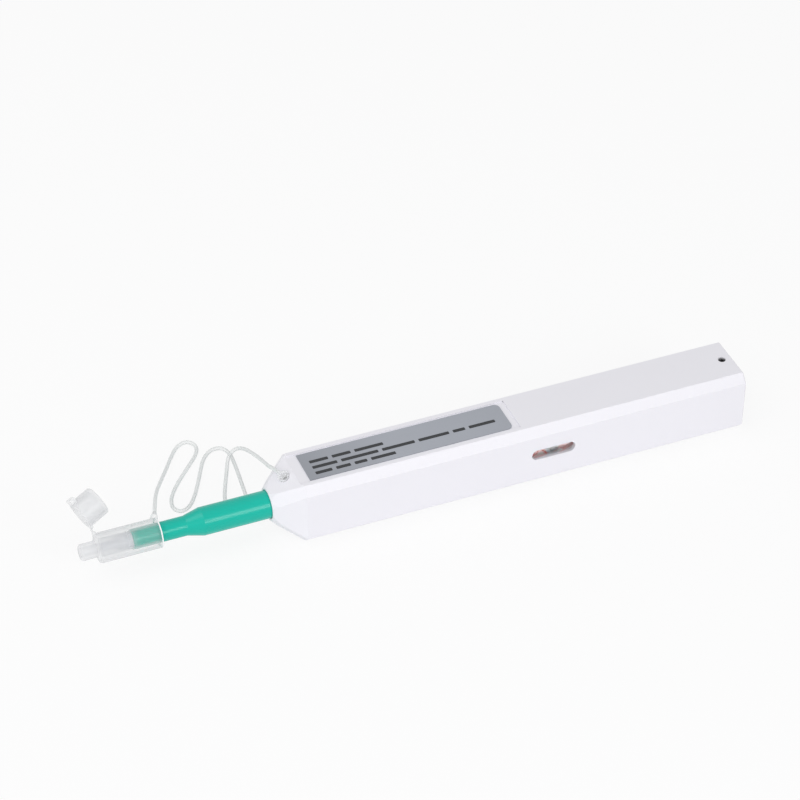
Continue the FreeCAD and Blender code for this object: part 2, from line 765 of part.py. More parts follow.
def coil(name, x0, x1, radius, wire, turns):
    """A compression spring along X, drawn in short straight runs."""
    length = float(x1 - x0) - 2 * float(wire)
    count = round(float(turns) * COIL_STEPS)
    spots = []
    for step in range(count + 1):
        angle = 2 * math.pi * step / COIL_STEPS
        spots.append(Vector(float(x0 + wire) + length * step / count,
                            float(radius) * math.sin(angle), float(axis_level + radius * math.cos(angle))))
    ahead = (spots[1] - spots[0]).normalize()
    out = ahead.cross(Vector(1, 0, 0)).normalize() * float(wire)
    pipe = Part.BRepOffsetAPI.MakePipeShell(Part.makePolygon(spots))
    pipe.setTransitionMode(1)
    pipe.add(flat_sided(spots[0], ahead, out))
    pipe.build()
    pipe.makeSolid()
    return feature(name, pipe.shape())


def guide_tube():
    """The green tube that the connector pushes in, with the stop flange inside the case."""
    front = x_tube
    return turned("guide_tube", [
        (0, s.tube_bore_radius), (0, s.tube_small_radius - s.rim_chamfer),
        (s.rim_chamfer, s.tube_small_radius), (x_cone_front - front, s.tube_small_radius),
        (x_cone_rear - front, s.tube_radius), (x_flange - front, s.tube_radius),
        (x_flange - front, s.tube_flange_radius), (x_plate - front, s.tube_flange_radius),
        (x_plate - front, s.tube_radius), (x_tube_rear - front, s.tube_radius),
        (x_tube_rear - front, s.tube_bore_radius)], front)


def nozzle():
    """The stepped nozzle that enters an adapter's sleeve."""
    full = s.nozzle_length
    return turned("nozzle", [
        (0, s.nozzle_bore_radius), (0, s.nozzle_tip_radius - s.nozzle_edge),
        (2 * s.nozzle_edge, s.nozzle_tip_radius),
        (full - s.nozzle_shoulder - s.nozzle_cone, s.nozzle_tip_radius),
        (full - s.nozzle_shoulder, s.nozzle_radius), (full, s.nozzle_radius),
        (full, s.tube_bore_radius - s.running_gap / 2),
        (full + s.nozzle_spigot, s.tube_bore_radius - s.running_gap / 2),
        (full + s.nozzle_spigot, s.nozzle_bore_radius)], x_nozzle)


def rotor_shaft():
    """The hollow shaft that turns the tip, with the helical groove that the pin runs in."""
    journal = s.tube_bore_radius - s.running_gap
    waist = s.journal_length
    waist_end = x_tube_rear - s.journal_length - x_rotor
    drum, drum_end = x_drum - x_rotor, x_drum_rear - x_rotor
    rear = x_journal + s.plate_thick + s.stop_gap - x_rotor
    body = turned("rotor_turned", [
        (0, s.thread_bore_radius), (0, journal), (waist, journal), (waist, s.rotor_radius),
        (waist_end, s.rotor_radius), (waist_end, journal), (drum, journal), (drum, s.drum_radius),
        (drum_end, s.drum_radius), (drum_end, journal), (rear, journal), (rear, s.thread_bore_radius)],
        x_rotor)
    floor = s.drum_radius - s.groove_depth
    skin = s.drum_radius + PAST
    at_pin = x_pin - x_rotor
    sweep = body.newObject("PartDesign::SubtractiveHelix", "helix_groove")
    sweep.Profile = outline(body, "groove_section", "XZ_Plane", [
        (at_pin - s.groove_width / 2, floor), (at_pin + s.groove_width / 2, floor),
        (at_pin + s.groove_width / 2, skin), (at_pin - s.groove_width / 2, skin)])
    sweep.ReferenceAxis = (sweep.Profile[0], ["H_Axis"])
    sweep.Mode = 0
    bind(sweep, Pitch=s.groove_lead, Height=s.push_stroke)
    sweep.Reversed = True
    turn = 360 * float(s.push_stroke / s.groove_lead)
    return cut("rotor_shaft", body, groove_end("groove_start", x_pin, 0),
               groove_end("groove_finish", x_pin - s.push_stroke, -turn))


def groove_end(name, x, turn):
    """The round pocket that ends the groove, square to the rotor's skin."""
    item = doc.addObject("Part::Cylinder", name)
    bind(item, Radius=s.groove_end_radius, Height=s.groove_depth + PAST)
    swing = Rotation(Vector(1, 0, 0), turn)
    out = swing.multVec(Vector(0, 0, float(s.drum_radius - s.groove_depth)))
    item.Placement = Placement(Vector(float(x), 0, float(axis_level)) + out, swing)
    return item


def helix_pin():
    """The steel pin pressed into the rib from above, with its tip in the rotor's groove."""
    tip = axis_level + s.drum_radius - s.groove_depth + s.pin_gap
    top = axis_level + 2 * s.drum_radius
    return rod("helix_pin", "z", x_pin, 0, tip, top - tip, s.pin_radius)


def tip_head():
    """The sprung head that presses the thread on the ferrule: face, stem, shoulder and tail."""
    front = x_nozzle - s.tip_proud
    shoulder, spring = x_tip_shoulder - front, x_tip_spring - front
    tail = x_rotor + s.tip_tail_length - front
    return turned("tip_head", [
        (0, 0), (0, s.tip_face_radius), (s.tip_radius / 3, s.tip_radius), (shoulder, s.tip_radius),
        (shoulder, s.tip_shoulder_radius), (spring, s.tip_shoulder_radius), (spring, s.tip_tail_radius),
        (tail, s.tip_tail_radius), (tail, 0)], front)


def reel_post(name, x, y, far, collar):
    """A reel's fixed axle: knob, clip groove, bearing and the collar that spaces it off the spine."""
    knob = s.post_neck_length
    neck = knob + s.clip_thick + s.running_gap
    start = y - s.stop_gap - neck
    return turned(name, [
        (0, 0), (0, s.post_radius), (knob, s.post_radius), (knob, s.post_neck_radius),
        (neck, s.post_neck_radius), (neck, s.post_radius), (far + collar - start, s.post_radius),
        (far + collar - start, s.post_collar_radius), (y_spine - start, s.post_collar_radius),
        (y_spine - start, 0)], x, start, along="y")


def carriage_frame():
    """The moulded frame behind the guide tube: ring, spine, rotor bearing, posts and brake lug."""
    half = s.spine_height / 2
    spine_end = x_supply + s.spine_overhang
    ring = rod("carriage_ring", "x", x_plate, 0, axis_level, s.plate_thick, plate_radius)
    link = box("carriage_link", x_plate, x_spring, 0, y_spine + s.spine_thick,
               axis_level - half, axis_level + half)
    spine = box("carriage_spine", x_plate, spine_end, y_spine, y_spine + s.spine_thick,
                axis_level - half, axis_level + half)
    bearing = box("carriage_bearing", x_journal, x_journal + s.plate_thick, -half, y_spine,
                  axis_level - half, axis_level + half)
    lug = box("brake_lug", spine_end - 2 * s.spine_thick, spine_end, y_spine, y_spine + s.spine_thick / 2,
              axis_level, brake_level())
    posts = [reel_post("supply_post", x_supply, y_supply, y_supply + s.supply_width, s.stop_gap),
             reel_post("take_up_post", x_take_up, y_take_up, y_gear + s.gear_thick, s.stop_gap)]
    tube_seat = rod("tube_seat", "x", x_plate - PAST, 0, axis_level, s.plate_thick + 2 * PAST,
                    s.tube_radius + s.running_gap)
    journal = rod("journal_seat", "x", x_journal - PAST, 0, axis_level, s.plate_thick + 2 * PAST,
                  s.tube_bore_radius)
    solid = fuse("carriage_solid", ring, link, spine, bearing, lug, *posts)
    return cut("carriage_frame", solid, tube_seat, journal)


def brake_level():
    return axis_level + supply_radius + s.stop_gap


def reel_brake():
    """The leaf spring that rubs on the supply reel's flanges and keeps the thread tight."""
    end = x_supply + s.spine_overhang
    return box("reel_brake", end - s.brake_length - s.spine_thick, end,
               y_supply, y_spine + s.spine_thick / 2, brake_level(), brake_level() + s.brake_thick)


def reel(name, x, y, width, radius, ratchet=0):
    """A two-flange reel on a Y axis, with arc windows through its near flange."""
    thin, bore = s.flange_thick, s.post_radius + s.running_gap
    points = [(0, bore), (0, radius), (thin, radius), (thin, s.reel_hub_radius),
              (width - thin, s.reel_hub_radius), (width - thin, radius), (width, radius)]
    if ratchet:
        points += [(width, s.ratchet_radius), (width + ratchet, s.ratchet_radius), (width + ratchet, bore)]
    else:
        points += [(width, bore)]
    body = turned(name, points, x, y, along="y")
    low, high = s.reel_hub_radius + s.window_inner_rim, radius - s.window_outer_rim
    window = body.newObject("PartDesign::Groove", name + "_window")
    window.Profile = outline(body, name + "_window_outline", "XY_Plane",
                             [(-PAST, low), (thin + s.window_over, low), (thin + s.window_over, high),
                              (-PAST, high)])
    window.ReferenceAxis = (window.Profile[0], ["H_Axis"])
    bind(window, Angle=s.window_angle)
    pattern(body, window, name + "_windows", int(float(s.reel_windows)))
    return body


def pattern(body, original, name, count):
    """Repeats a cut evenly round the piece's own axis."""
    copies = body.newObject("PartDesign::PolarPattern", name)
    copies.Originals = [original]
    copies.Axis = (original.Profile[0], ["H_Axis"])
    copies.Angle = 360
    copies.Occurrences = count
    body.Tip = copies


def take_up_reel():
    """The driven reel, with a saw-tooth ratchet on its far side."""
    body = reel("take_up_reel", x_take_up, y_take_up, s.take_up_width, take_up_radius, s.ratchet_thick)
    count = int(float(s.ratchet_teeth))
    back = NOTCH_SHARE * 2 * math.pi / count
    low = s.ratchet_radius - s.ratchet_depth
    over = s.ratchet_radius + s.ratchet_depth
    notch = body.newObject("PartDesign::Pocket", "ratchet_notch")
    notch.Profile = outline(body, "notch_outline", "YZ_Plane", [
        (low, 0), (over, 0), (over * math.cos(back), over * math.sin(back)),
        (s.ratchet_radius * math.cos(back), s.ratchet_radius * math.sin(back))],
        s.take_up_width)
    notch.Reversed = True
    bind(notch, Length=s.ratchet_thick + PAST)
    copies = body.newObject("PartDesign::PolarPattern", "ratchet_notches")
    copies.Originals = [notch]
    copies.Axis = (plane(body, "X_Axis"), [""])
    copies.Angle = 360
    copies.Occurrences = count
    body.Tip = copies
    return body


def thread_on(name, x, y, width, radius):
    """The thread wound on a reel, as one ring."""
    return turned(name, [(0, s.reel_hub_radius), (0, radius), (width - 2 * s.flange_thick, radius),
                         (width - 2 * s.flange_thick, s.reel_hub_radius)], x, y + s.flange_thick, along="y")


def reel_clip(name, x, y):
    """A spring clip in the post's groove: a washer open on one side."""
    start = y - s.stop_gap - s.clip_thick
    disc = rod(name + "_disc", "y", x, start, axis_level, s.clip_thick, s.clip_radius)
    hole = rod(name + "_hole", "y", x, start - PAST, axis_level, s.clip_thick + 2 * PAST,
               s.post_neck_radius + s.running_gap / 2)
    mouth = box(name + "_mouth", x, x + s.clip_radius + PAST, start - PAST, start + s.clip_thick + PAST,
                axis_level - s.clip_slot / 2, axis_level + s.clip_slot / 2)
    return cut(name, disc, hole, mouth)


def guide_pin(name, side):
    """A polished pin that leads the thread into the rotor's bore."""
    return rod(name, "y", x_guide, -s.post_radius, axis_level + side * s.guide_pin_spread,
               y_spine + s.post_radius, s.guide_pin_radius)


def flank(radius, teeth, module):
    """Half a gear tooth's angle at a radius, from the involute of its base circle."""
    pitch = module * teeth / 2
    base = pitch * math.cos(math.radians(PRESSURE_ANGLE))
    rolled = math.acos(min(1.0, base / radius))
    at_pitch = math.radians(PRESSURE_ANGLE)
    spread = math.tan(at_pitch) - at_pitch - math.tan(rolled) + rolled
    return math.pi / (2 * teeth) + spread - float(s.tooth_backlash) / (4 * pitch)


def drive_gear():
    """The pinion that the case's rack turns: involute teeth, one of them straight up at rest."""
    teeth, module = int(float(s.gear_teeth)), float(s.gear_module)
    pitch = module * teeth / 2
    foot, tip = pitch - DEDENDUM * module, pitch + module
    base = max(foot, pitch * math.cos(math.radians(PRESSURE_ANGLE)))
    levels = [foot, base, pitch, tip]
    corners = []
    for tooth in range(teeth):
        centre = math.pi / 2 + 2 * math.pi * tooth / teeth
        left = [(r, centre - flank(max(r, base), teeth, module)) for r in levels]
        right = [(r, centre + flank(max(r, base), teeth, module)) for r in reversed(levels)]
        corners += [Vector(r * math.cos(a), 0, r * math.sin(a)) for r, a in left + right]
    ring = Part.Face(Part.makePolygon(corners + corners[:1]))
    blank = ring.extrude(Vector(0, float(s.gear_thick), 0))
    bore = Part.makeCylinder(float(s.post_radius + s.running_gap), 3 * float(s.gear_thick),
                             Vector(0, -float(s.gear_thick), 0), Vector(0, 1, 0))
    stud = Part.makeCylinder(float(s.pawl_stud_radius), float(s.pawl_thick),
                             pawl_spot() - Vector(0, float(s.pawl_thick), 0), Vector(0, 1, 0))
    item = feature("drive_gear", blank.cut(bore).fuse(stud))
    return put(item, x_take_up, y_gear, axis_level)


def around(radius, degrees):
    """A point round a Y axis, from +X towards +Z."""
    angle = math.radians(degrees)
    return Vector(radius * math.cos(angle), 0, radius * math.sin(angle))


def pawl_spot():
    """Where the pawl's stud stands on the gear, from the gear's centre."""
    return around(float(s.ratchet_radius + s.pawl_hub_radius + s.gear_side_gap), PAWL_AT)


def drive_pawl():
    """The one-way pawl on the gear, with its nose behind the radial face of a ratchet tooth."""
    stud, thick, hub_radius = pawl_spot(), float(s.pawl_thick), float(s.pawl_hub_radius)
    ring, depth, room = float(s.ratchet_radius), float(s.ratchet_depth), float(s.tooth_backlash)
    hub = Part.makeCylinder(hub_radius, thick, stud, Vector(0, -1, 0))
    inner, outer = ring + room, ring + room + float(s.pawl_arm_thick)
    corners = [around(stud.Length + 0.8 * hub_radius, PAWL_AT), around(outer, ELBOW_AT),
               around(outer, NOSE_AT), around(ring - depth / 2, NOSE_AT),
               around(ring - depth / 2, NOSE_AT + NOSE_WIDE), around(inner, NOSE_AT + NOSE_WIDE),
               around(inner, ELBOW_AT), around(stud.Length - 0.4 * hub_radius, PAWL_AT)]
    arm = Part.Face(Part.makePolygon(corners + corners[:1])).extrude(Vector(0, -thick, 0))
    hole = Part.makeCylinder(float(s.pawl_stud_radius + s.running_gap / 2), 3 * thick,
                             stud + Vector(0, thick, 0), Vector(0, -1, 0))
    item = feature("drive_pawl", hub.fuse(arm).cut(hole))
    return put(item, x_take_up, y_gear, axis_level)


def drive_rack():
    """The rack under the case's roof that turns the gear as the carriage slides."""
    module = float(s.gear_module)
    pitch = math.pi * module
    slope = math.tan(math.radians(PRESSURE_ANGLE))
    level = float(axis_level + pitch_radius)
    tip, foot = level - module + float(s.running_gap), level + DEDENDUM * module
    roof = float(s.case_width - s.case_wall)
    middle = float(x_take_up)
    back = math.ceil(float(pitch_radius) / pitch) + 1
    ahead = back + math.ceil(float(s.push_stroke) / pitch)
    corners = [Vector(middle - back * pitch, 0, roof)]
    for tooth in range(-back, ahead):
        centre = middle + (tooth + 0.5) * pitch
        wide = pitch / 4 + (foot - level) * slope
        narrow = pitch / 4 - (level - tip) * slope
        tooth_outline = ((-wide, foot), (-narrow, tip), (narrow, tip), (wide, foot))
        corners += [Vector(centre + x, 0, z) for x, z in tooth_outline]
    corners.append(Vector(middle + ahead * pitch, 0, roof))
    wide = float(s.gear_thick - 2 * s.rack_side)
    shape = Part.Face(Part.makePolygon(corners + corners[:1])).extrude(Vector(0, wide, 0))
    return put(feature("drive_rack", shape), 0, y_gear + s.rack_side, 0)


def tangent(centre, radius, outside, side):
    """Where a line from an outside point touches a circle in the XZ plane."""
    towards = Vector(outside.x - centre.x, 0, outside.z - centre.z)
    swing = math.acos(radius / towards.Length) * side
    angle = math.atan2(towards.z, towards.x) + swing
    return Vector(centre.x + radius * math.cos(angle), centre.y, centre.z + radius * math.sin(angle))


def thread_run(name, x, y, pack_radius, side):
    """A run of thread from a reel, past a guide pin and into the rotor's bore."""
    level = float(axis_level + side * (s.guide_pin_spread - s.guide_pin_radius - s.thread_radius
                                        - s.guide_pin_gap))
    aside = -side * float(s.thread_spread)
    centre = Vector(float(x), float(y), float(axis_level))
    turn = Vector(float(x_guide), aside, level)
    leave = tangent(centre, float(pack_radius + s.thread_radius + s.thread_lift), turn, -side)
    end = Vector(float(x_journal - s.thread_end), aside, level)
    return tube(name, [leave, turn, end], s.thread_radius)


def cap_body():
    """The clear cap: bore on the guide tube, front wall, ferrule nose, tether root and hinge tab."""
    front = x_nose
    shoulder, total = s.nose_length, x_cap_rear - front
    seat = x_tube - front - s.stop_gap
    shell = turned("cap_shell", [
        (0, s.ferrule_radius), (0, s.nose_radius - s.nose_edge), (s.nose_edge, s.nose_radius),
        (shoulder, s.nose_radius), (shoulder, s.cap_radius - s.cap_edge),
        (shoulder + s.cap_inner_edge, s.cap_radius - s.cap_inner_edge),
        (shoulder + s.cap_edge, s.cap_radius), (total - s.cap_rim_edge, s.cap_radius),
        (total, s.cap_radius - s.cap_rim_edge), (total, s.tube_small_radius + s.cap_bore_gap),
        (seat, s.tube_small_radius + s.cap_bore_gap), (seat, s.cap_cavity_radius),
        (shoulder + s.cap_front_wall, s.cap_cavity_radius), (shoulder + s.cap_front_wall, s.ferrule_radius)],
        front)
    tab = hinge_tab("cap_tab", s.cap_radius - s.cap_tab_sink, x_cap + s.running_gap, s.cap_tab_half)
    return fuse("cap_body", shell, tether_root(), tab)


def tether_root():
    """The flared root on the cap's rear edge that the tether grows out of."""
    foot, ahead = tether_front_route()[:2]
    back = (foot - ahead).normalize()
    item = doc.addObject("Part::Cone", "tether_root")
    bind(item, Radius1=s.tether_radius, Radius2=s.tether_root_radius, Height=s.tether_root_length)
    item.Placement = Placement(foot, Rotation(Vector(0, 0, 1), back))
    return item


def hinge_tab(name, inner, x, root_half):
    """A flared tab towards the hinge line, square to the cap's axis."""
    outer = s.hinge_radius - s.hinge_clear
    half = s.hinge_width / 2
    tab = pad(name, "YZ_Plane", [(-root_half, inner), (root_half, inner), (half, outer), (-half, outer)],
              s.strap_thick)
    return put(tab, x, 0, axis_level, ((1, 0, 0), -HINGE_SIDE))


def hinge_spot():
    """The hinge line's middle, and its direction."""
    side = math.radians(HINGE_SIDE)
    reach = float(s.hinge_radius)
    spot = Vector(float(x_cap), reach * math.sin(side), float(axis_level) + reach * math.cos(side))
    return spot, Vector(0, math.cos(side), -math.sin(side))


def cap_lid():
    """The flip lid: a cup over the nose with a thumb lip, swung open about the hinge."""
    rim = s.lid_length
    cup = turned("lid_cup", [
        (0, 0), (0, s.lid_radius - s.cap_rim_edge), (s.cap_rim_edge, s.lid_radius), (rim, s.lid_radius),
        (rim, s.lid_radius - s.lid_wall),
        (s.lid_end_wall, s.lid_radius - s.lid_wall), (s.lid_end_wall, 0)], x_cap - s.lid_gap - rim)
    tab = hinge_tab("lid_tab", s.lid_radius - s.lid_wall / 2, x_cap - s.lid_gap - s.strap_thick,
                    s.lid_tab_half)
    half, low, high = s.lid_lip_width / 2, -s.lid_radius - s.lid_lip_reach, -s.lid_radius + s.lid_lip_reach
    lip = pad("lid_lip", "YZ_Plane", [(-half, low), (half, low), (half, high), (-half, high)],
              s.lid_lip_length)
    put(lip, x_cap - s.lid_gap - s.lid_lip_length, 0, axis_level, ((1, 0, 0), -HINGE_SIDE))
    bore = rod("lid_bore", "x", x_cap - s.lid_gap - rim + s.lid_end_wall, 0, axis_level, rim,
               s.lid_radius - s.lid_wall)
    item = cut("cap_lid", fuse("lid_solid", cup, tab, lip), bore)
    spot, line = hinge_spot()
    item.Placement = Placement(Vector(), Rotation(line, LID_OPEN), spot)
    return item


def strip(a, b, line, thick, width):
    """A thin straight plate between two points, as wide as the hinge line is long."""
    aside = line.cross(b - a).normalize() * (thick / 2)
    corners = [a + aside, b + aside, b - aside, a - aside]
    face = Part.Face(Part.makePolygon(corners + corners[:1]))
    face.translate(line * (-width / 2))
    return face.extrude(line * width)


def lid_hinge(cap, lid):
    """The living hinge: a film from the cap's tab, round the hinge line, to the lid's tab."""
    spot, line = hinge_spot()
    out = Vector(0, spot.y, spot.z - float(axis_level)).normalize()
    thick, width = float(s.hinge_film), float(s.hinge_width)
    inward = out * float(s.hinge_grip)
    on_cap = spot - inward + Vector(float(s.strap_thick) / 2, 0, 0)
    shut = spot - inward - Vector(float(s.strap_thick / 2 + s.lid_gap), 0, 0)
    on_lid = spot + Rotation(line, LID_OPEN).multVec(shut - spot)
    bead = Part.makeCylinder(thick / 2, width, spot - line * (width / 2), line)
    film = bead.fuse([strip(spot, on_cap, line, thick, width), strip(spot, on_lid, line, thick, width)])
    return feature("lid_hinge", film.cut([cap.Shape, lid.Shape]).removeSplitter())


def return_spring():
    """The spring round the guide tube that pushes the carriage forward again."""
    return coil("return_spring", x_spring, x_rib, s.spring_radius, s.spring_wire, s.spring_turns)


def tip_spring():
    """The small spring that presses the tip head forward."""
    return coil("tip_spring", x_tip_spring, x_rotor, s.tip_spring_radius, s.tip_spring_wire,
                s.tip_spring_turns)


def build_pieces():
    """Every sub-part of the pen; each object's Label is its node's name."""
    supply_mid = y_supply + s.supply_width / 2
    take_up_mid = y_take_up + s.take_up_width / 2
    pieces = [
        case_tray(), side_cover(), label_plate(), window_lens(), drive_rack(), helix_pin(),
        return_spring(), tether_button(), tube("tether_rear", tether_rear_route(), s.tether_radius),
        guide_tube(), nozzle(), carriage_frame(), reel_brake(),
        reel_clip("supply_clip", x_supply, y_supply), reel_clip("take_up_clip", x_take_up, y_take_up),
        guide_pin("upper_guide_pin", 1), guide_pin("lower_guide_pin", -1),
        thread_run("thread_feed", x_supply, supply_mid, supply_pack_radius, 1),
        thread_run("thread_return", x_take_up, take_up_mid, s.take_up_pack_radius, -1),
        reel("supply_reel", x_supply, y_supply, s.supply_width, supply_radius),
        thread_on("fresh_thread", x_supply, y_supply, s.supply_width, supply_pack_radius),
        take_up_reel(),
        thread_on("used_thread", x_take_up, y_take_up, s.take_up_width, s.take_up_pack_radius),
        drive_gear(), drive_pawl(), rotor_shaft(), tip_head(), tip_spring(),
        tube("tether_front", tether_front_route(), s.tether_radius),
    ]
    cap, lid = cap_body(), cap_lid()
    doc.recompute()
    check(pieces + [cap, lid])
    return pieces + [cap, lid, lid_hinge(cap, lid)]


def check(pieces):
    """Stops on a failed object or a bad solid."""
    for item in doc.Objects:
        if "Invalid" in item.State or "Error" in item.State:
            raise RuntimeError(f"{item.Label} failed: {item.State}")
    for piece in pieces:
        if piece.Shape.isNull() or not piece.Shape.isValid() or piece.Shape.Volume <= 0:
            raise RuntimeError(f"{piece.Label} has no valid solid")


def main():
    pieces = build_pieces()
    doc.recompute()
    check(pieces)
    os.makedirs("parts", exist_ok=True)
    for piece in pieces:
        piece.Shape.exportStep(f"parts/{piece.Label}.step")
        print(f"{piece.Label}: {len(piece.Shape.Solids)} solid, {piece.Shape.Volume:.2f} mm3")


if __name__ == "__main__":
    main()
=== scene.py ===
"""Looks of a push-to-clean pen for fibre connectors, laid over its packed solids."""

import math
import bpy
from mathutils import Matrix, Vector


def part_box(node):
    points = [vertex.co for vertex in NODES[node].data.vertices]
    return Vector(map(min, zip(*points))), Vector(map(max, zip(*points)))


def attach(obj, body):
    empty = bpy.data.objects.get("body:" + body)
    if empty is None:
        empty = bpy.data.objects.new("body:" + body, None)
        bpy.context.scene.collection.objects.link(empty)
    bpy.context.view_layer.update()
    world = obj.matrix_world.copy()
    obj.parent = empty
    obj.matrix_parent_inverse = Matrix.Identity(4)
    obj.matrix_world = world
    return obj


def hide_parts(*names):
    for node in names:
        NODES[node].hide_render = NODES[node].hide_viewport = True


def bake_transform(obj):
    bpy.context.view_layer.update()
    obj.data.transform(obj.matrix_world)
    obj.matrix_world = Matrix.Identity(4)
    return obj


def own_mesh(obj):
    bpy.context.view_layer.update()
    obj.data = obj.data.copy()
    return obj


bl_info = {
    "name": "Fibre Connector Cleaning Pen",
    "version": (1, 0, 0),
    "blender": (4, 5, 0),
    "location": "3D View > Sidebar > Cleaning Pen",
    "description": "Finishes a push-to-clean pen for fibre connectors: case, drive, cap and tether",
    "category": "Object",
}

import bmesh
import bpy
from bpy.props import FloatProperty, FloatVectorProperty, PointerProperty
from bpy.types import Operator, Panel, PropertyGroup
from mathutils import Matrix, Vector

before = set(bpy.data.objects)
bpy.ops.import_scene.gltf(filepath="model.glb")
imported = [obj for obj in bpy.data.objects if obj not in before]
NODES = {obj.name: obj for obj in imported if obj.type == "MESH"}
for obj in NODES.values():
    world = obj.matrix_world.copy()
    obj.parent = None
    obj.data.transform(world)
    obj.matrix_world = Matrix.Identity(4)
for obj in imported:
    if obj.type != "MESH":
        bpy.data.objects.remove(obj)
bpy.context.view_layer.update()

MM = 0.001
WHITE = (1.0, 1.0, 1.0, 1.0)

# The tether's points, in metres. It leaves the cap's root, lies on the table in two loops, passes
# behind the guide tube, where its two runs meet, and climbs to the button on the case.
TETHER_FRONT = [
    (-0.1077, 0.0048, 0.0133), (-0.1063, 0.0086, 0.0129), (-0.1038, 0.0156, 0.0103),
    (-0.1002, 0.0234, 0.0065), (-0.0956, 0.0324, 0.0026), (-0.0914, 0.0398, 0.0008),
    (-0.0886, 0.0436, 0.0006), (-0.0852, 0.0452, 0.0006), (-0.0829, 0.0426, 0.0006),
    (-0.0838, 0.0388, 0.0006), (-0.0884, 0.0338, 0.0006), (-0.0938, 0.0278, 0.0006),
    (-0.0972, 0.0230, 0.0006), (-0.0984, 0.0186, 0.0006), (-0.0966, 0.0160, 0.0006),
    (-0.0934, 0.0172, 0.0006), (-0.0898, 0.0226, 0.0006), (-0.0862, 0.0296, 0.0006),
    (-0.0834, 0.0352, 0.0006), (-0.0802, 0.0386, 0.0006), (-0.0766, 0.0388, 0.0006),
    (-0.0750, 0.0354, 0.0006), (-0.0754, 0.0296, 0.0006), (-0.0764, 0.0214, 0.0006),
    (-0.0773, 0.0144, 0.0006),
]
TETHER_REAR = [
    (-0.0773, 0.0144, 0.0006), (-0.07775, 0.0109, 0.0006), (-0.0795, 0.0088, 0.0006),
    (-0.0823, 0.0090, 0.0006), (-0.0840, 0.0116, 0.0006), (-0.0836, 0.0158, 0.0006),
    (-0.0814, 0.0216, 0.0007), (-0.0788, 0.0274, 0.0012), (-0.0768, 0.0320, 0.0021),
    (-0.0744, 0.0334, 0.0034), (-0.0726, 0.0310, 0.0052), (-0.0721, 0.0260, 0.0076),
    (-0.0722, 0.0190, 0.0112), (-0.0726, 0.0118, 0.0147), (-0.0730, 0.0074, 0.0171),
    (-0.0727, 0.0042, 0.0185), (-0.0721, 0.0022, 0.01875),
]


def linear(code):
    """An sRGB hex colour as the linear RGBA that a shader takes."""
    channels = [int(code[at:at + 2], 16) / 255 for at in (1, 3, 5)]
    return tuple(c / 12.92 if c <= 0.04045 else ((c + 0.055) / 1.055) ** 2.4
                 for c in channels) + (1.0,)


def colour(name, code, description):
    """A colour property whose default is an sRGB hex value."""
    return FloatVectorProperty(name=name, description=description, subtype="COLOR", size=4,
                               min=0.0, max=1.0, default=linear(code))


def length(name, millimetres, description):
    """A length property in metres, given here in millimetres."""
    return FloatProperty(name=name, description=description, unit="LENGTH", min=0.0, precision=5,
                         default=millimetres * MM)


# ---------------------------------------------------------------- materials


def add(tree, kind, sockets=None, **settings):
    """Adds a node, sets its properties, and fills its sockets with values or links."""
    item = tree.nodes.new(kind)
    for name, value in settings.items():
        setattr(item, name, value)
    for key, value in (sockets or {}).items():
        if isinstance(value, bpy.types.NodeSocket):
            tree.links.new(value, item.inputs[key])
        else:
            item.inputs[key].default_value = value
    return item


def new_material(name):
    """An empty material, its node tree, and the object's own coordinates in it."""
    made = bpy.data.materials.new(name)
    made.use_nodes = True
    made.node_tree.nodes.clear()
    return made, made.node_tree, add(made.node_tree, "ShaderNodeTexCoord").outputs["Object"]


def finish_material(made, tree, shader):
    """Joins the shader to the surface."""
    add(tree, "ShaderNodeOutputMaterial", {"Surface": shader.outputs[0]})
    return made


def shaded_tint(tree, tint, pattern, darkest, lightest):
    """A tint whose level wanders between two values with a pattern."""
    tone = add(tree, "ShaderNodeMapRange", {"Value": pattern, "To Min": darkest,
                                            "To Max": lightest})
    return add(tree, "ShaderNodeVectorMath", {0: tint[:3], 1: tone.outputs[0]},
               operation="MULTIPLY").outputs[0]


def straight_look(tree):
    """1 for what the eye, a gloss or a clear part sees directly, and 0 for light on the object."""
    rays = add(tree, "ShaderNodeLightPath")
    seen = add(tree, "ShaderNodeMath", {0: rays.outputs["Is Camera Ray"],
                                        1: rays.outputs["Is Glossy Ray"]}, operation="MAXIMUM")
    return add(tree, "ShaderNodeMath", {0: seen.outputs[0], 1: rays.outputs["Is Transmission Ray"]},
               operation="MAXIMUM").outputs[0]


def moulded(name, tint, roughness, grain_mm=0.12, relief_mm=0.004, flow=0.03, **sockets):
    """Injection-moulded plastic: a fine even grain from the tool, drawn coarse enough to show.

    The gloss drifts by a tenth, and the tone by the share flow, in patches of about 11 mm, as
    the melt sets unevenly."""
    made, tree, place = new_material(name)
    grain = add(tree, "ShaderNodeTexNoise", {"Vector": place, "Scale": 1 / (grain_mm * MM),
                                             "Detail": 2.0, "Roughness": 0.6})
    drift = add(tree, "ShaderNodeTexNoise", {"Vector": place, "Scale": 1 / (11 * MM),
                                             "Detail": 2.0}).outputs["Fac"]
    gloss = add(tree, "ShaderNodeMapRange", {"Value": drift, "To Min": roughness * 0.9,
                                             "To Max": roughness * 1.1})
    bump = add(tree, "ShaderNodeBump", {"Height": grain.outputs["Fac"], "Strength": 0.6,
                                        "Distance": relief_mm * MM})
    shader = add(tree, "ShaderNodeBsdfPrincipled", {
        "Base Color": shaded_tint(tree, tint, drift, 1 - flow, 1.0), "Roughness": gloss.outputs[0],
        "Normal": bump.outputs[0], **sockets})
    return finish_material(made, tree, shader)


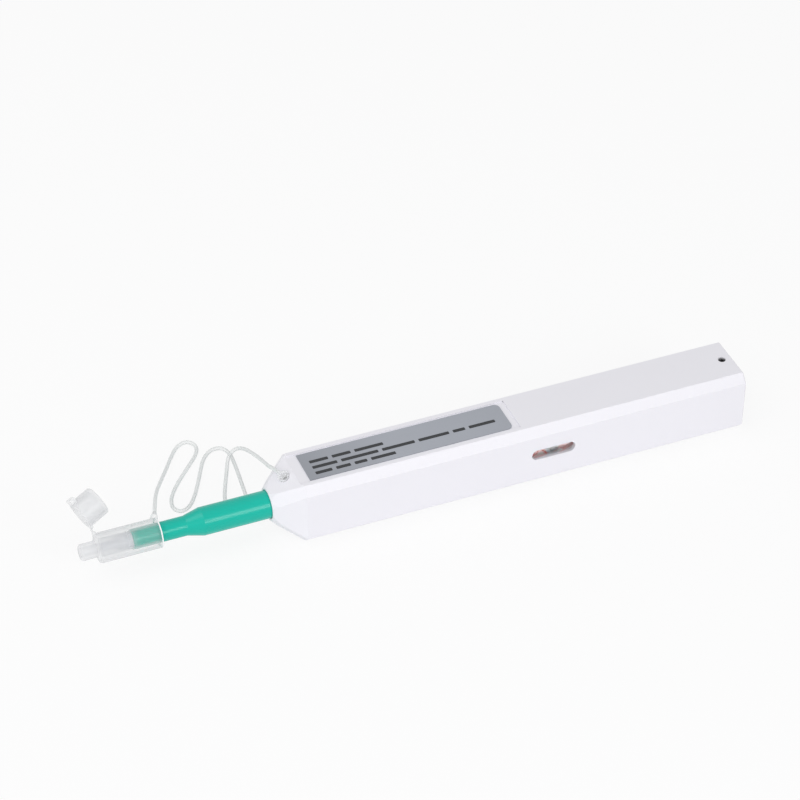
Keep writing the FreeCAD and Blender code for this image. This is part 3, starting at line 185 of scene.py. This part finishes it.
def satin_abs(tint):
    """ABS from a finely etched tool: satin, with a trace of blue in the white.

    Painted shade darkens it where walls within 6 mm leave less than 0.42 of the surroundings open,
    as in a deep narrow hole, and makes it nearly black below 0.2."""
    made = moulded("satin_abs", tint, 0.36, grain_mm=0.1, relief_mm=0.003, flow=0.015, IOR=1.53)
    tree = made.node_tree
    shader = tree.nodes["Principled BSDF"]
    body = shader.inputs["Base Color"].links[0].from_socket
    # Painted shade: the colour is darkened by how little of the surroundings is open.
    open_air = add(tree, "ShaderNodeAmbientOcclusion", {"Distance": 6 * MM}, samples=8,
                   only_local=True)
    shade = add(tree, "ShaderNodeMapRange", {"Value": open_air.outputs["AO"], "From Min": 0.2,
                                             "From Max": 0.42, "To Min": 0.01, "To Max": 1.0})
    shaded = add(tree, "ShaderNodeVectorMath", {0: body, 1: shade.outputs[0]},
                 operation="MULTIPLY")
    tree.links.new(shaded.outputs[0], shader.inputs["Base Color"])
    return made


def polished_abs(tint):
    """Pigmented ABS from a polished tool: a deep even colour under a clear long highlight."""
    return moulded("polished_abs", tint, 0.24, grain_mm=0.4, relief_mm=0.001, flow=0.02, IOR=1.4)


def polyethylene(name, tint, veil, rim, thick_veil=None, thin_from=0.0):
    """Low-density polyethylene: a milky veil over what lies behind it, denser seen edge on.

    With thick_veil, the veil is that dense ahead of the station thin_from along the pen, where
    the wall stands clear of what it covers."""
    made = moulded(name, tint, 0.3, grain_mm=0.5, relief_mm=0.004, flow=0.02, IOR=1.51)
    tree = made.node_tree
    if thick_veil is not None:
        # The veil thins over the 4.5 mm around that station.
        place = tree.nodes["Texture Coordinate"].outputs["Object"]
        station = add(tree, "ShaderNodeSeparateXYZ", {0: place}).outputs["X"]
        veil = add(tree, "ShaderNodeMapRange", {
            "Value": station, "From Min": thin_from - 3 * MM, "From Max": thin_from + 1.5 * MM,
            "To Min": thick_veil, "To Max": veil}).outputs[0]
    slant = add(tree, "ShaderNodeLayerWeight", {"Blend": 0.5})
    cover = add(tree, "ShaderNodeMapRange", {"Value": slant.outputs["Facing"], "From Min": 0.2,
                                             "From Max": 0.5, "To Min": veil, "To Max": rim})
    tree.links.new(cover.outputs[0], tree.nodes["Principled BSDF"].inputs["Alpha"])
    return made


def highlight_white_polyethylene(tint):
    """Polyethylene where it is thick: opaque, white and waxy; on the cap's lip its white is partly
    a painted highlight.
    """
    return moulded("highlight_white_polyethylene", tint, 0.3, grain_mm=0.5, relief_mm=0.003, flow=0.02,
                   IOR=1.51)


def acrylic(tint):
    """Clear acrylic under a hard coat: colourless and polished, with sharp bright reflections."""
    return moulded("clear_acrylic", tint, 0.02, grain_mm=0.8, relief_mm=0.0003, flow=0.01,
                   IOR=1.49, **{"Transmission Weight": 1.0, "Alpha": 0.3, "Coat Weight": 1.0,
                                "Coat IOR": 1.7, "Coat Roughness": 0.03})


def acetal(name, tint):
    """Acetal: a dense, slippery plastic with a soft sheen."""
    return moulded(name, tint, 0.38, grain_mm=0.15, relief_mm=0.004, flow=0.04, IOR=1.48)


def polyester_film(tint, start, end):
    """Matt silver-grey polyester film: flat, with a painted sheen that leaves it lighter near its
    middle and a little darker towards its ends.
    """
    made, tree, place = new_material("matt_polyester_film")
    station = add(tree, "ShaderNodeSeparateXYZ", {0: place}).outputs["X"]
    along = add(tree, "ShaderNodeMapRange", {"Value": station, "From Min": start,
                                             "From Max": end})
    painted_sheen = add(tree, "ShaderNodeValToRGB", {"Fac": along.outputs[0]})
    stops = painted_sheen.color_ramp.elements
    stops.new(0.45)
    # The painted sheen's level at the film's front end, near its middle and at its rear end.
    for stop, level in zip(stops, (0.8, 1.02, 0.97)):
        stop.color = (level, level, level, 1.0)
    coating = add(tree, "ShaderNodeTexNoise", {"Vector": place, "Scale": 1 / (0.4 * MM),
                                               "Detail": 3.0})
    bump = add(tree, "ShaderNodeBump", {"Height": coating.outputs["Fac"], "Strength": 0.5,
                                        "Distance": 0.003 * MM})
    drift = add(tree, "ShaderNodeTexNoise", {"Vector": place, "Scale": 1 / (16 * MM)})
    body = add(tree, "ShaderNodeVectorMath", {
        0: shaded_tint(tree, tint, drift.outputs["Fac"], 0.94, 1.04), 1: painted_sheen.outputs[0]},
        operation="MULTIPLY")
    shader = add(tree, "ShaderNodeBsdfPrincipled", {
        "Base Color": body.outputs[0], "Roughness": 0.42, "IOR": 1.6, "Normal": bump.outputs[0]})
    return finish_material(made, tree, shader)


def printing_ink(tint):
    """Screen-printed ink: a thin matt layer with a slightly ragged gloss."""
    return moulded("screen_ink", tint, 0.5, grain_mm=0.15, relief_mm=0.004, flow=0.1)


def drawn_steel(tint):
    """Drawn spring steel: bright, with fine lines along the wire's or strip's draw."""
    made, tree, place = new_material("drawn_spring_steel")
    # The lines are about 1.1 mm long, and a twelfth of that wide.
    stretch = add(tree, "ShaderNodeMapping", {"Vector": place, "Scale": (1.0, 12.0, 12.0)})
    lines = add(tree, "ShaderNodeTexNoise", {"Vector": stretch.outputs[0],
                                             "Scale": 1 / (1.1 * MM), "Detail": 3.0})
    gloss = add(tree, "ShaderNodeMapRange", {"Value": lines.outputs["Fac"], "To Min": 0.2,
                                             "To Max": 0.42})
    bump = add(tree, "ShaderNodeBump", {"Height": lines.outputs["Fac"], "Strength": 0.4,
                                        "Distance": 0.003 * MM})
    shader = add(tree, "ShaderNodeBsdfPrincipled", {
        "Base Color": tint, "Metallic": 1.0, "Roughness": gloss.outputs[0],
        "Normal": bump.outputs[0]})
    return finish_material(made, tree, shader)


def microfibre(tint):
    """Microfibre thread: dull and slightly fuzzy, its filaments drawn coarser than they are."""
    made, tree, place = new_material("microfibre_thread")
    filaments = add(tree, "ShaderNodeTexNoise", {"Vector": place, "Scale": 1 / (0.11 * MM),
                                                 "Detail": 3.0, "Distortion": 1.5}).outputs["Fac"]
    bump = add(tree, "ShaderNodeBump", {"Height": filaments, "Distance": 0.03 * MM})
    shader = add(tree, "ShaderNodeBsdfPrincipled", {
        "Base Color": shaded_tint(tree, tint, filaments, 0.82, 1.05), "Roughness": 0.85,
        "Normal": bump.outputs[0], "Sheen Weight": 0.4})
    return finish_material(made, tree, shader)


def laminate(tint):
    """Pale table laminate: matt, with a faint speckle.

    What is seen of it directly is 0.86 plain white, which makes a pale background."""
    made, tree, place = new_material("pale_laminate")
    speckle = add(tree, "ShaderNodeTexNoise", {"Vector": place, "Scale": 1 / (2.5 * MM)})
    matt = add(tree, "ShaderNodeBsdfDiffuse", {
        "Color": shaded_tint(tree, tint, speckle.outputs["Fac"], 0.98, 1.0)})
    glow = add(tree, "ShaderNodeEmission", {"Color": WHITE, "Strength": 1.0})
    share = add(tree, "ShaderNodeMath", {0: straight_look(tree), 1: 0.86}, operation="MULTIPLY")
    return finish_material(made, tree, add(tree, "ShaderNodeMixShader", {
        0: share.outputs[0], 1: matt.outputs[0], 2: glow.outputs[0]}))


def dress(names, made):
    """Gives CAD nodes a material."""
    for name in names:
        slots = NODES[name].data.materials
        slots.clear()
        slots.append(made)


# ---------------------------------------------------------------- meshes

# Corners of a mesh that are nearer than this are one and the same.
SAME_CORNER = 0.002 * MM
SAME_CORD_CORNER = 0.01 * MM


def new_piece(name, mesh, made, body):
    """A piece of the object: its material and the body that it rides on.

    A piece given no body has none of its own."""
    piece = bpy.data.objects.new(name, mesh)
    bpy.context.scene.collection.objects.link(piece)
    mesh.materials.clear()
    mesh.materials.append(made)
    if body:
        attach(piece, body)
    return piece


def to_mesh(name, work, smooth_angle=None):
    """Ends a bmesh as a new mesh, smooth up to an angle where one is given."""
    mesh = bpy.data.meshes.new(name)
    work.to_mesh(mesh)
    work.free()
    if smooth_angle is not None:
        mesh.polygons.foreach_set("use_smooth", [True] * len(mesh.polygons))
        mesh.set_sharp_from_angle(angle=math.radians(smooth_angle))
    return mesh


def soft_copy(node, made, body):
    """A merged copy of a CAD node, standing in the node's place."""
    work = bmesh.new()
    work.from_mesh(NODES[node].data)
    bmesh.ops.remove_doubles(work, verts=work.verts, dist=SAME_CORNER)
    piece = new_piece(node + "_soft", to_mesh(node + "_soft", work, smooth_angle=40),
                      made, body)
    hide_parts(node)
    return piece


def cord_meshes(name, route, radius):
    """One smooth cord along a route: the points of its line, and its round mesh."""
    curve = bpy.data.curves.new(name, "CURVE")
    curve.dimensions = "3D"
    curve.resolution_u = 10
    spline = curve.splines.new("NURBS")
    spline.points.add(len(route) - 1)
    for point, place in zip(spline.points, route):
        point.co = (*place, 1.0)
    spline.order_u = 3
    spline.use_endpoint_u = True
    holder = bpy.data.objects.new(name + "_line", curve)
    bpy.context.scene.collection.objects.link(holder)
    line = bpy.data.meshes.new_from_object(holder)
    path = [tuple(vertex.co) for vertex in line.vertices]
    bpy.data.meshes.remove(line)
    curve.bevel_depth = radius
    curve.bevel_resolution = 5
    curve.use_fill_caps = True
    tube = bpy.data.meshes.new_from_object(holder)
    bpy.data.objects.remove(holder)
    bpy.data.curves.remove(curve)
    work = bmesh.new()
    work.from_mesh(tube)
    bpy.data.meshes.remove(tube)
    bmesh.ops.remove_doubles(work, verts=work.verts, dist=SAME_CORD_CORNER)
    bmesh.ops.recalc_face_normals(work, faces=work.faces)
    return path, to_mesh(name, work, smooth_angle=50)


# ---------------------------------------------------------------- settings


class PenCameraSettings(PropertyGroup):
    """Where the camera stands and how it looks down on the pen."""

    place: FloatVectorProperty(name="Place", description="The camera's place",
                               subtype="TRANSLATION", size=3,
                               default=(-0.28465, -0.59650, 0.56104))
    azimuth: FloatProperty(name="Azimuth",
                           description="Turn of the view about the vertical, from the side",
                           subtype="ANGLE", default=math.radians(-22.59))
    elevation: FloatProperty(name="Elevation", description="How far the camera looks down",
                             subtype="ANGLE", default=math.radians(39.13))
    roll: FloatProperty(name="Roll", description="Tilt of the picture", subtype="ANGLE",
                        default=math.radians(0.49))
    focal_mm: FloatProperty(name="Focal Length",
                            description="Lens, in millimetres on a 36 mm sensor",
                            min=10.0, default=135.01)


class PenStageSettings(PropertyGroup):
    """The table and the lamps."""

    floor: colour("Floor", "#F4F4F5", "Colour of the table top")
    floor_size: length("Floor Size", 3000, "Side of the table top")
    key_power: FloatProperty(name="Key Power", description="Power of the lamp on the near side",
                             unit="POWER", min=0.0, default=2.95)
    gloss_power: FloatProperty(name="Gloss Power",
                               description="Power of the small lamp that draws the highlights",
                               unit="POWER", min=0.0, default=2.2)
    fill_power: FloatProperty(name="Fill Power", description="Power of the lamp overhead",
                              unit="POWER", min=0.0, default=1.55)
    sky_strength: FloatProperty(name="Sky Strength", description="Level of the white room",
                                min=0.0, default=0.5)


class PenCaseSettings(PropertyGroup):
    """Case, side cover, window and label."""

    shell: colour("Shell", "#EFEEF4", "White of the case")
    film: colour("Label Film", "#A3A7B0", "Grey of the label")
    ink: colour("Label Bars", "#202226", "Bars printed on the label")
    lens: colour("Window", "#F6F8FA", "Tint of the window")
    lens_height: length("Window Height", 3.3, "Height of the window's lens")
    lens_back: FloatProperty(name="Window Back",
                             description="Where the lens starts, across the pen",
                             unit="LENGTH", precision=5, default=-8.7 * MM)
    lens_thick: length("Window Thickness", 1.25, "Thickness of the window's lens")
    lens_round: length("Window Rounding", 1.2, "Rounding of the lens's front edge")
    bar_height: length("Bar Height", 1.2, "Height of a printed bar")
    bar_pitch: length("Bar Pitch", 2.5, "Distance between two rows of bars")
    bar_drop: length("Bar Drop", 0.95, "How far the rows lie towards the near edge")
    ink_thickness: length("Ink Thickness", 0.02, "Thickness of the printed ink")


class PenDriveSettings(PropertyGroup):
    """Reels, thread, gear, rotor, springs and clips inside the case."""

    reel: colour("Supply Reel", "#F0553C", "Coral of the supply reel")
    dark: colour("Dark Acetal", "#26272B", "Carriage frame and pawl")
    grey: colour("Grey Acetal", "#8A8D94", "Take-up reel and rotor")
    natural: colour("Natural Acetal", "#E9E7DF", "Gear and rack")
    steel: colour("Spring Steel", "#B9BBBF", "Springs, clips and pins")
    thread: colour("Thread", "#F1EFE8", "Cleaning thread")
    stroke: length("Stroke", 10, "How far the return spring closes")
    tip_travel: length("Tip Travel", 1.2, "How far the tip's spring closes")


class PenTubeSettings(PropertyGroup):
    """Guide tube and nozzle."""

    green: colour("Tube", "#00B7A4", "Teal green of the guide tube")
    nozzle: colour("Nozzle", "#D5D8DE", "White of the nozzle and the tip")


class PenCapSettings(PropertyGroup):
    """Cap, lid and tether."""

    milky: colour("Cap", "#ECEDEF", "Tint of the cap and lid")
    strand: colour("Tether", "#EDF0F0", "Tint of the tether")
    # The lip's white is partly a painted highlight along the cap's rim; the button's white is its
    # own.
    lip: colour("Cap Lip", "#FBFCFD", "White of the cap's thick lip and the tether's button")
    cap_radius: length("Cap Radius", 4.3, "Outer radius of the cap")
    cap_overlap: length("Cap Overlap", 7.9, "How far the cap reaches over the guide tube")
    lip_radius: length("Lip Radius", 0.2, "Roundness of the lip at the cap's open end")
    axis_height: length("Axis Height", 10.0, "Height of the guide tube's axis above the table")
    tether_radius: length("Tether Radius", 0.55, "Half the tether's thickness")


# ---------------------------------------------------------------- operators


class PEN_OT_camera(Operator):
    """Sets the camera to look down along the pen from the cap's side"""

    bl_idname = "pen.camera"
    bl_label = "Camera"

    def execute(self, context):
        view = context.scene.pen_camera
        across = Vector((math.cos(view.azimuth), math.sin(view.azimuth), 0.0))
        back = Vector((math.sin(view.azimuth) * math.cos(view.elevation),
                       -math.cos(view.azimuth) * math.cos(view.elevation),
                       math.sin(view.elevation)))
        up = back.cross(across)
        right = across * math.cos(view.roll) + up * math.sin(view.roll)
        top = up * math.cos(view.roll) - across * math.sin(view.roll)
        data = bpy.data.cameras.new("camera")
        data.lens = view.focal_mm
        data.sensor_width = 36.0
        camera = bpy.data.objects.new("camera", data)
        turn = Matrix((right, top, back)).transposed().to_4x4()
        camera.matrix_world = Matrix.Translation(view.place) @ turn
        context.scene.collection.objects.link(camera)
        context.scene.camera = camera
        return {"FINISHED"}


class PEN_OT_tether(Operator):
    """Lays the two runs of the tether, which cross the pen's two slides"""

    bl_idname = "pen.tether"
    bl_label = "Tether"

    def execute(self, context):
        settings = context.scene.pen_cap
        made = polyethylene("milky_strand", settings.strand, veil=0.25, rim=0.78)
        for name, route, first, second in (("tether_front", TETHER_FRONT, "cap", "carriage"),
                                           ("tether_rear", TETHER_REAR, "carriage", "case")):
            path, mesh = cord_meshes(name + "_cord", route, settings.tether_radius)
            piece = new_piece(name + "_cord", mesh, made, None)
            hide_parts(name)
            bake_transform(piece)
        return {"FINISHED"}


class PEN_OT_case(Operator):
    """Finishes the case, its side cover, the window and the label"""

    bl_idname = "pen.case"
    bl_label = "Case"

    def execute(self, context):
        settings = context.scene.pen_case
        dress(("case_tray", "side_cover"), satin_abs(settings.shell))
        low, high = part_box("label_plate")
        dress(("label_plate",), polyester_film(settings.film, low.x, high.x))
        return {"FINISHED"}


class PEN_OT_window(Operator):
    """Sets the rounded clear lens in the case's window"""

    bl_idname = "pen.window"
    bl_label = "Window"

    def execute(self, context):
        settings = context.scene.pen_case
        low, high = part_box("window_lens")
        centre = (low + high) / 2
        # A circle with no vertex on its upright axis is drawn apart into a long round-ended shape.
        steps = 48
        reach = (high.x - low.x - (high.z - low.z)) / 2
        work = bmesh.new()
        bmesh.ops.create_circle(work, cap_ends=True, segments=steps,
                                radius=settings.lens_height / 2,
                                matrix=Matrix.Rotation(math.radians(90), 4, "X")
                                @ Matrix.Rotation(math.pi / steps, 4, "Z"))
        for side in (-1, 1):
            half = [vertex for vertex in work.verts if vertex.co.x * side > 0]
            bmesh.ops.translate(work, verts=half, vec=(side * reach, 0.0, 0.0))
        bmesh.ops.translate(work, verts=work.verts, vec=(centre.x, settings.lens_back, centre.z))
        raised = bmesh.ops.extrude_face_region(work, geom=work.faces[:])["geom"]
        front = [item for item in raised if isinstance(item, bmesh.types.BMVert)]
        bmesh.ops.translate(work, verts=front, vec=(0.0, -settings.lens_thick, 0.0))
        rim = [edge for edge in work.edges if all(vertex in front for vertex in edge.verts)]
        bmesh.ops.bevel(work, geom=rim, offset=settings.lens_round, affect="EDGES", segments=6,
                        profile=0.5, material=-1)
        bmesh.ops.recalc_face_normals(work, faces=work.faces)
        lens = new_piece("window_dome", to_mesh("window_dome", work, smooth_angle=60),
                         acrylic(settings.lens), "case")
        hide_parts("window_lens")
        return {"FINISHED"}


class PEN_OT_label_print(Operator):
    """Prints three rows of plain bars on the label"""

    bl_idname = "pen.label_print"
    bl_label = "Label Print"

    def execute(self, context):
        settings = context.scene.pen_case
        low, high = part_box("label_plate")
        # Each row's bars, by where they start and end as shares of the label's length.
        rows = (((0.04, 0.13), (0.15, 0.24), (0.26, 0.40)),
                ((0.04, 0.16), (0.18, 0.36), (0.38, 0.54), (0.56, 0.71), (0.73, 0.79),
                 (0.81, 0.94)),
                ((0.04, 0.12), (0.14, 0.21), (0.23, 0.29), (0.31, 0.43)))
        span = high.x - low.x
        work = bmesh.new()
        for row, bars in enumerate(rows):
            centre = (low.y + high.y) / 2 + (1 - row) * settings.bar_pitch - settings.bar_drop
            for start, end in bars:
                # A quarter of the ink's thickness is sunk into the film.
                made = bmesh.ops.create_cube(work, size=1.0)["verts"]
                bmesh.ops.scale(work, verts=made, vec=((end - start) * span, settings.bar_height,
                                                       settings.ink_thickness))
                bmesh.ops.translate(work, verts=made, vec=(low.x + (start + end) / 2 * span, centre,
                                                           high.z + settings.ink_thickness / 4))
        upright = [edge for edge in work.edges
                   if abs(edge.verts[0].co.z - edge.verts[1].co.z) > settings.ink_thickness / 2]
        bmesh.ops.bevel(work, geom=upright, offset=settings.bar_height / 5, affect="EDGES",
                        segments=4, profile=0.5, material=-1)
        new_piece("label_print", to_mesh("label_print", work), printing_ink(settings.ink), "case")
        return {"FINISHED"}


class PEN_OT_drive(Operator):
    """Finishes the reels, the thread, the gear train, the rotor and the springs"""

    bl_idname = "pen.drive"
    bl_label = "Drive"

    def execute(self, context):
        settings = context.scene.pen_drive
        # Polystyrene makes the supply reel harder and glossier than the acetal around it.
        dress(("supply_reel",), moulded("coral_styrene", settings.reel, 0.25, IOR=1.59))
        dress(("carriage_frame", "drive_pawl"), acetal("dark_acetal", settings.dark))
        dress(("take_up_reel", "rotor_shaft"), acetal("grey_acetal", settings.grey))
        dress(("drive_gear", "drive_rack"), acetal("natural_acetal", settings.natural))
        steel = drawn_steel(settings.steel)
        dress(("helix_pin", "reel_brake", "supply_clip", "take_up_clip", "upper_guide_pin",
               "lower_guide_pin"), steel)
        # Each spring by its name, the body it rides on, its joint and how far that joint travels.
        springs = (("return_spring", "case", "push_stroke", settings.stroke),
                   ("tip_spring", "rotor", "tip_press", settings.tip_travel))
        for name, body, joint, travel in springs:
            spring = soft_copy(name, steel, body)
            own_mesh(spring)
        dress(("fresh_thread", "used_thread", "thread_feed", "thread_return"),
              microfibre(settings.thread))
        return {"FINISHED"}


class PEN_OT_tube(Operator):
    """Finishes the guide tube, the nozzle and the cleaning tip"""

    bl_idname = "pen.tube"
    bl_label = "Guide Tube"

    def execute(self, context):
        settings = context.scene.pen_tube
        dress(("guide_tube",), polished_abs(settings.green))
        dress(("nozzle", "tip_head"), acetal("white_acetal", settings.nozzle))
        return {"FINISHED"}


class PEN_OT_cap(Operator):
    """Finishes the cap, its flip lid, the film hinge and the tether's button"""

    bl_idname = "pen.cap"
    bl_label = "Cap"

    def execute(self, context):
        settings = context.scene.pen_cap
        made = polyethylene("milky_polyethylene", settings.milky, veil=0.09, rim=0.5,
                            thick_veil=0.36, thin_from=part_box("guide_tube")[0].x)
        dress(("cap_body", "cap_lid"), made)
        # The film hinge lies between the cap's tab and the lid's.
        hinge = soft_copy("lid_hinge", made, None)
        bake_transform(hinge)
        dress(("tether_button",),
              polyethylene("clear_polyethylene", settings.lip, veil=0.2, rim=0.6))
        # The cap's open end has a rounded lip, a little proud of the wall and of its end; its
        # opaque white is partly a painted highlight along the rim.
        thick = settings.lip_radius
        work = bmesh.new()
        ring = bmesh.ops.create_circle(work, segments=12, radius=thick)["verts"]
        bmesh.ops.translate(work, verts=ring, vec=(
            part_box("guide_tube")[0].x + settings.cap_overlap - thick / 2,
            settings.cap_radius - thick * 0.8, 0.0))
        bmesh.ops.spin(work, geom=work.verts[:] + work.edges[:], cent=(0.0, 0.0, 0.0),
                       axis=(1.0, 0.0, 0.0), angle=math.tau, steps=64, use_merge=True)
        bmesh.ops.translate(work, verts=work.verts, vec=(0.0, 0.0, settings.axis_height))
        bmesh.ops.recalc_face_normals(work, faces=work.faces)
        new_piece("cap_lip_highlight", to_mesh("cap_lip_highlight", work, smooth_angle=60),
                  highlight_white_polyethylene(settings.lip), "cap")
        return {"FINISHED"}


class PEN_OT_stage(Operator):
    """Sets the table, the lamps and the white room"""

    bl_idname = "pen.stage"
    bl_label = "Stage"

    def execute(self, context):
        settings = context.scene.pen_stage
        work = bmesh.new()
        bmesh.ops.create_grid(work, x_segments=4, y_segments=4, size=settings.floor_size / 2)
        floor = bpy.data.objects.new("floor", to_mesh("floor", work))
        floor.data.materials.append(laminate(settings.floor))
        context.scene.collection.objects.link(floor)

        # Each lamp by its place, its power and its side. All are aimed at the pen's middle.
        lamps = (("near_lamp", (-0.80, -0.52, 0.36), settings.key_power, 0.9),
                 ("gloss_lamp", (0.24, -0.75, 0.43), settings.gloss_power, 0.36),
                 ("over_lamp", (-0.40, 0.05, 0.75), settings.fill_power, 0.6))
        aim = Vector((-0.03, 0.0, 0.01))
        for name, place, power, side in lamps:
            data = bpy.data.lights.new(name, "AREA")
            data.energy = power
            data.size = side
            lamp = bpy.data.objects.new(name, data)
            lamp.location = place
            lamp.rotation_euler = (Vector(place) - aim).to_track_quat("Z", "Y").to_euler()
            context.scene.collection.objects.link(lamp)

        world = bpy.data.worlds.new("white_room")
        world.use_nodes = True
        tree = world.node_tree
        tree.nodes.clear()
        level = add(tree, "ShaderNodeMapRange", {
            "Value": straight_look(tree), "To Min": settings.sky_strength, "To Max": 1.0})
        sky = add(tree, "ShaderNodeBackground", {"Color": WHITE, "Strength": level.outputs[0]})
        add(tree, "ShaderNodeOutputWorld", {"Surface": sky.outputs[0]})
        context.scene.world = world
        context.scene.view_settings.view_transform = "Standard"
        return {"FINISHED"}


SETTINGS = (("pen_camera", PenCameraSettings), ("pen_stage", PenStageSettings),
            ("pen_case", PenCaseSettings), ("pen_drive", PenDriveSettings),
            ("pen_tube", PenTubeSettings), ("pen_cap", PenCapSettings))
OPERATORS = (PEN_OT_camera, PEN_OT_tether, PEN_OT_case, PEN_OT_window, PEN_OT_label_print,
             PEN_OT_drive, PEN_OT_tube, PEN_OT_cap, PEN_OT_stage)


class PEN_PT_parts(Panel):
    """Lists the pen's pieces and their sizes and colours"""

    bl_idname = "PEN_PT_parts"
    bl_label = "Cleaning Pen"
    bl_space_type = "VIEW_3D"
    bl_region_type = "UI"
    bl_category = "Cleaning Pen"

    def draw(self, context):
        for operator in OPERATORS:
            self.layout.operator(operator.bl_idname)
        for name, group in SETTINGS:
            box = self.layout.box()
            box.label(text=group.__doc__)
            for key in group.__annotations__:
                box.prop(getattr(context.scene, name), key)


def register():
    for name, group in SETTINGS:
        bpy.utils.register_class(group)
        setattr(bpy.types.Scene, name, PointerProperty(type=group))
    for operator in OPERATORS:
        bpy.utils.register_class(operator)
    bpy.utils.register_class(PEN_PT_parts)


def unregister():
    bpy.utils.unregister_class(PEN_PT_parts)
    for operator in reversed(OPERATORS):
        bpy.utils.unregister_class(operator)
    for name, group in reversed(SETTINGS):
        delattr(bpy.types.Scene, name)
        bpy.utils.unregister_class(group)


def main():
    """Dresses the pen piece by piece."""
    register()
    for operator in OPERATORS:
        group, name = operator.bl_idname.split(".")
        getattr(getattr(bpy.ops, group), name)()


if __name__ == "__main__":
    main()
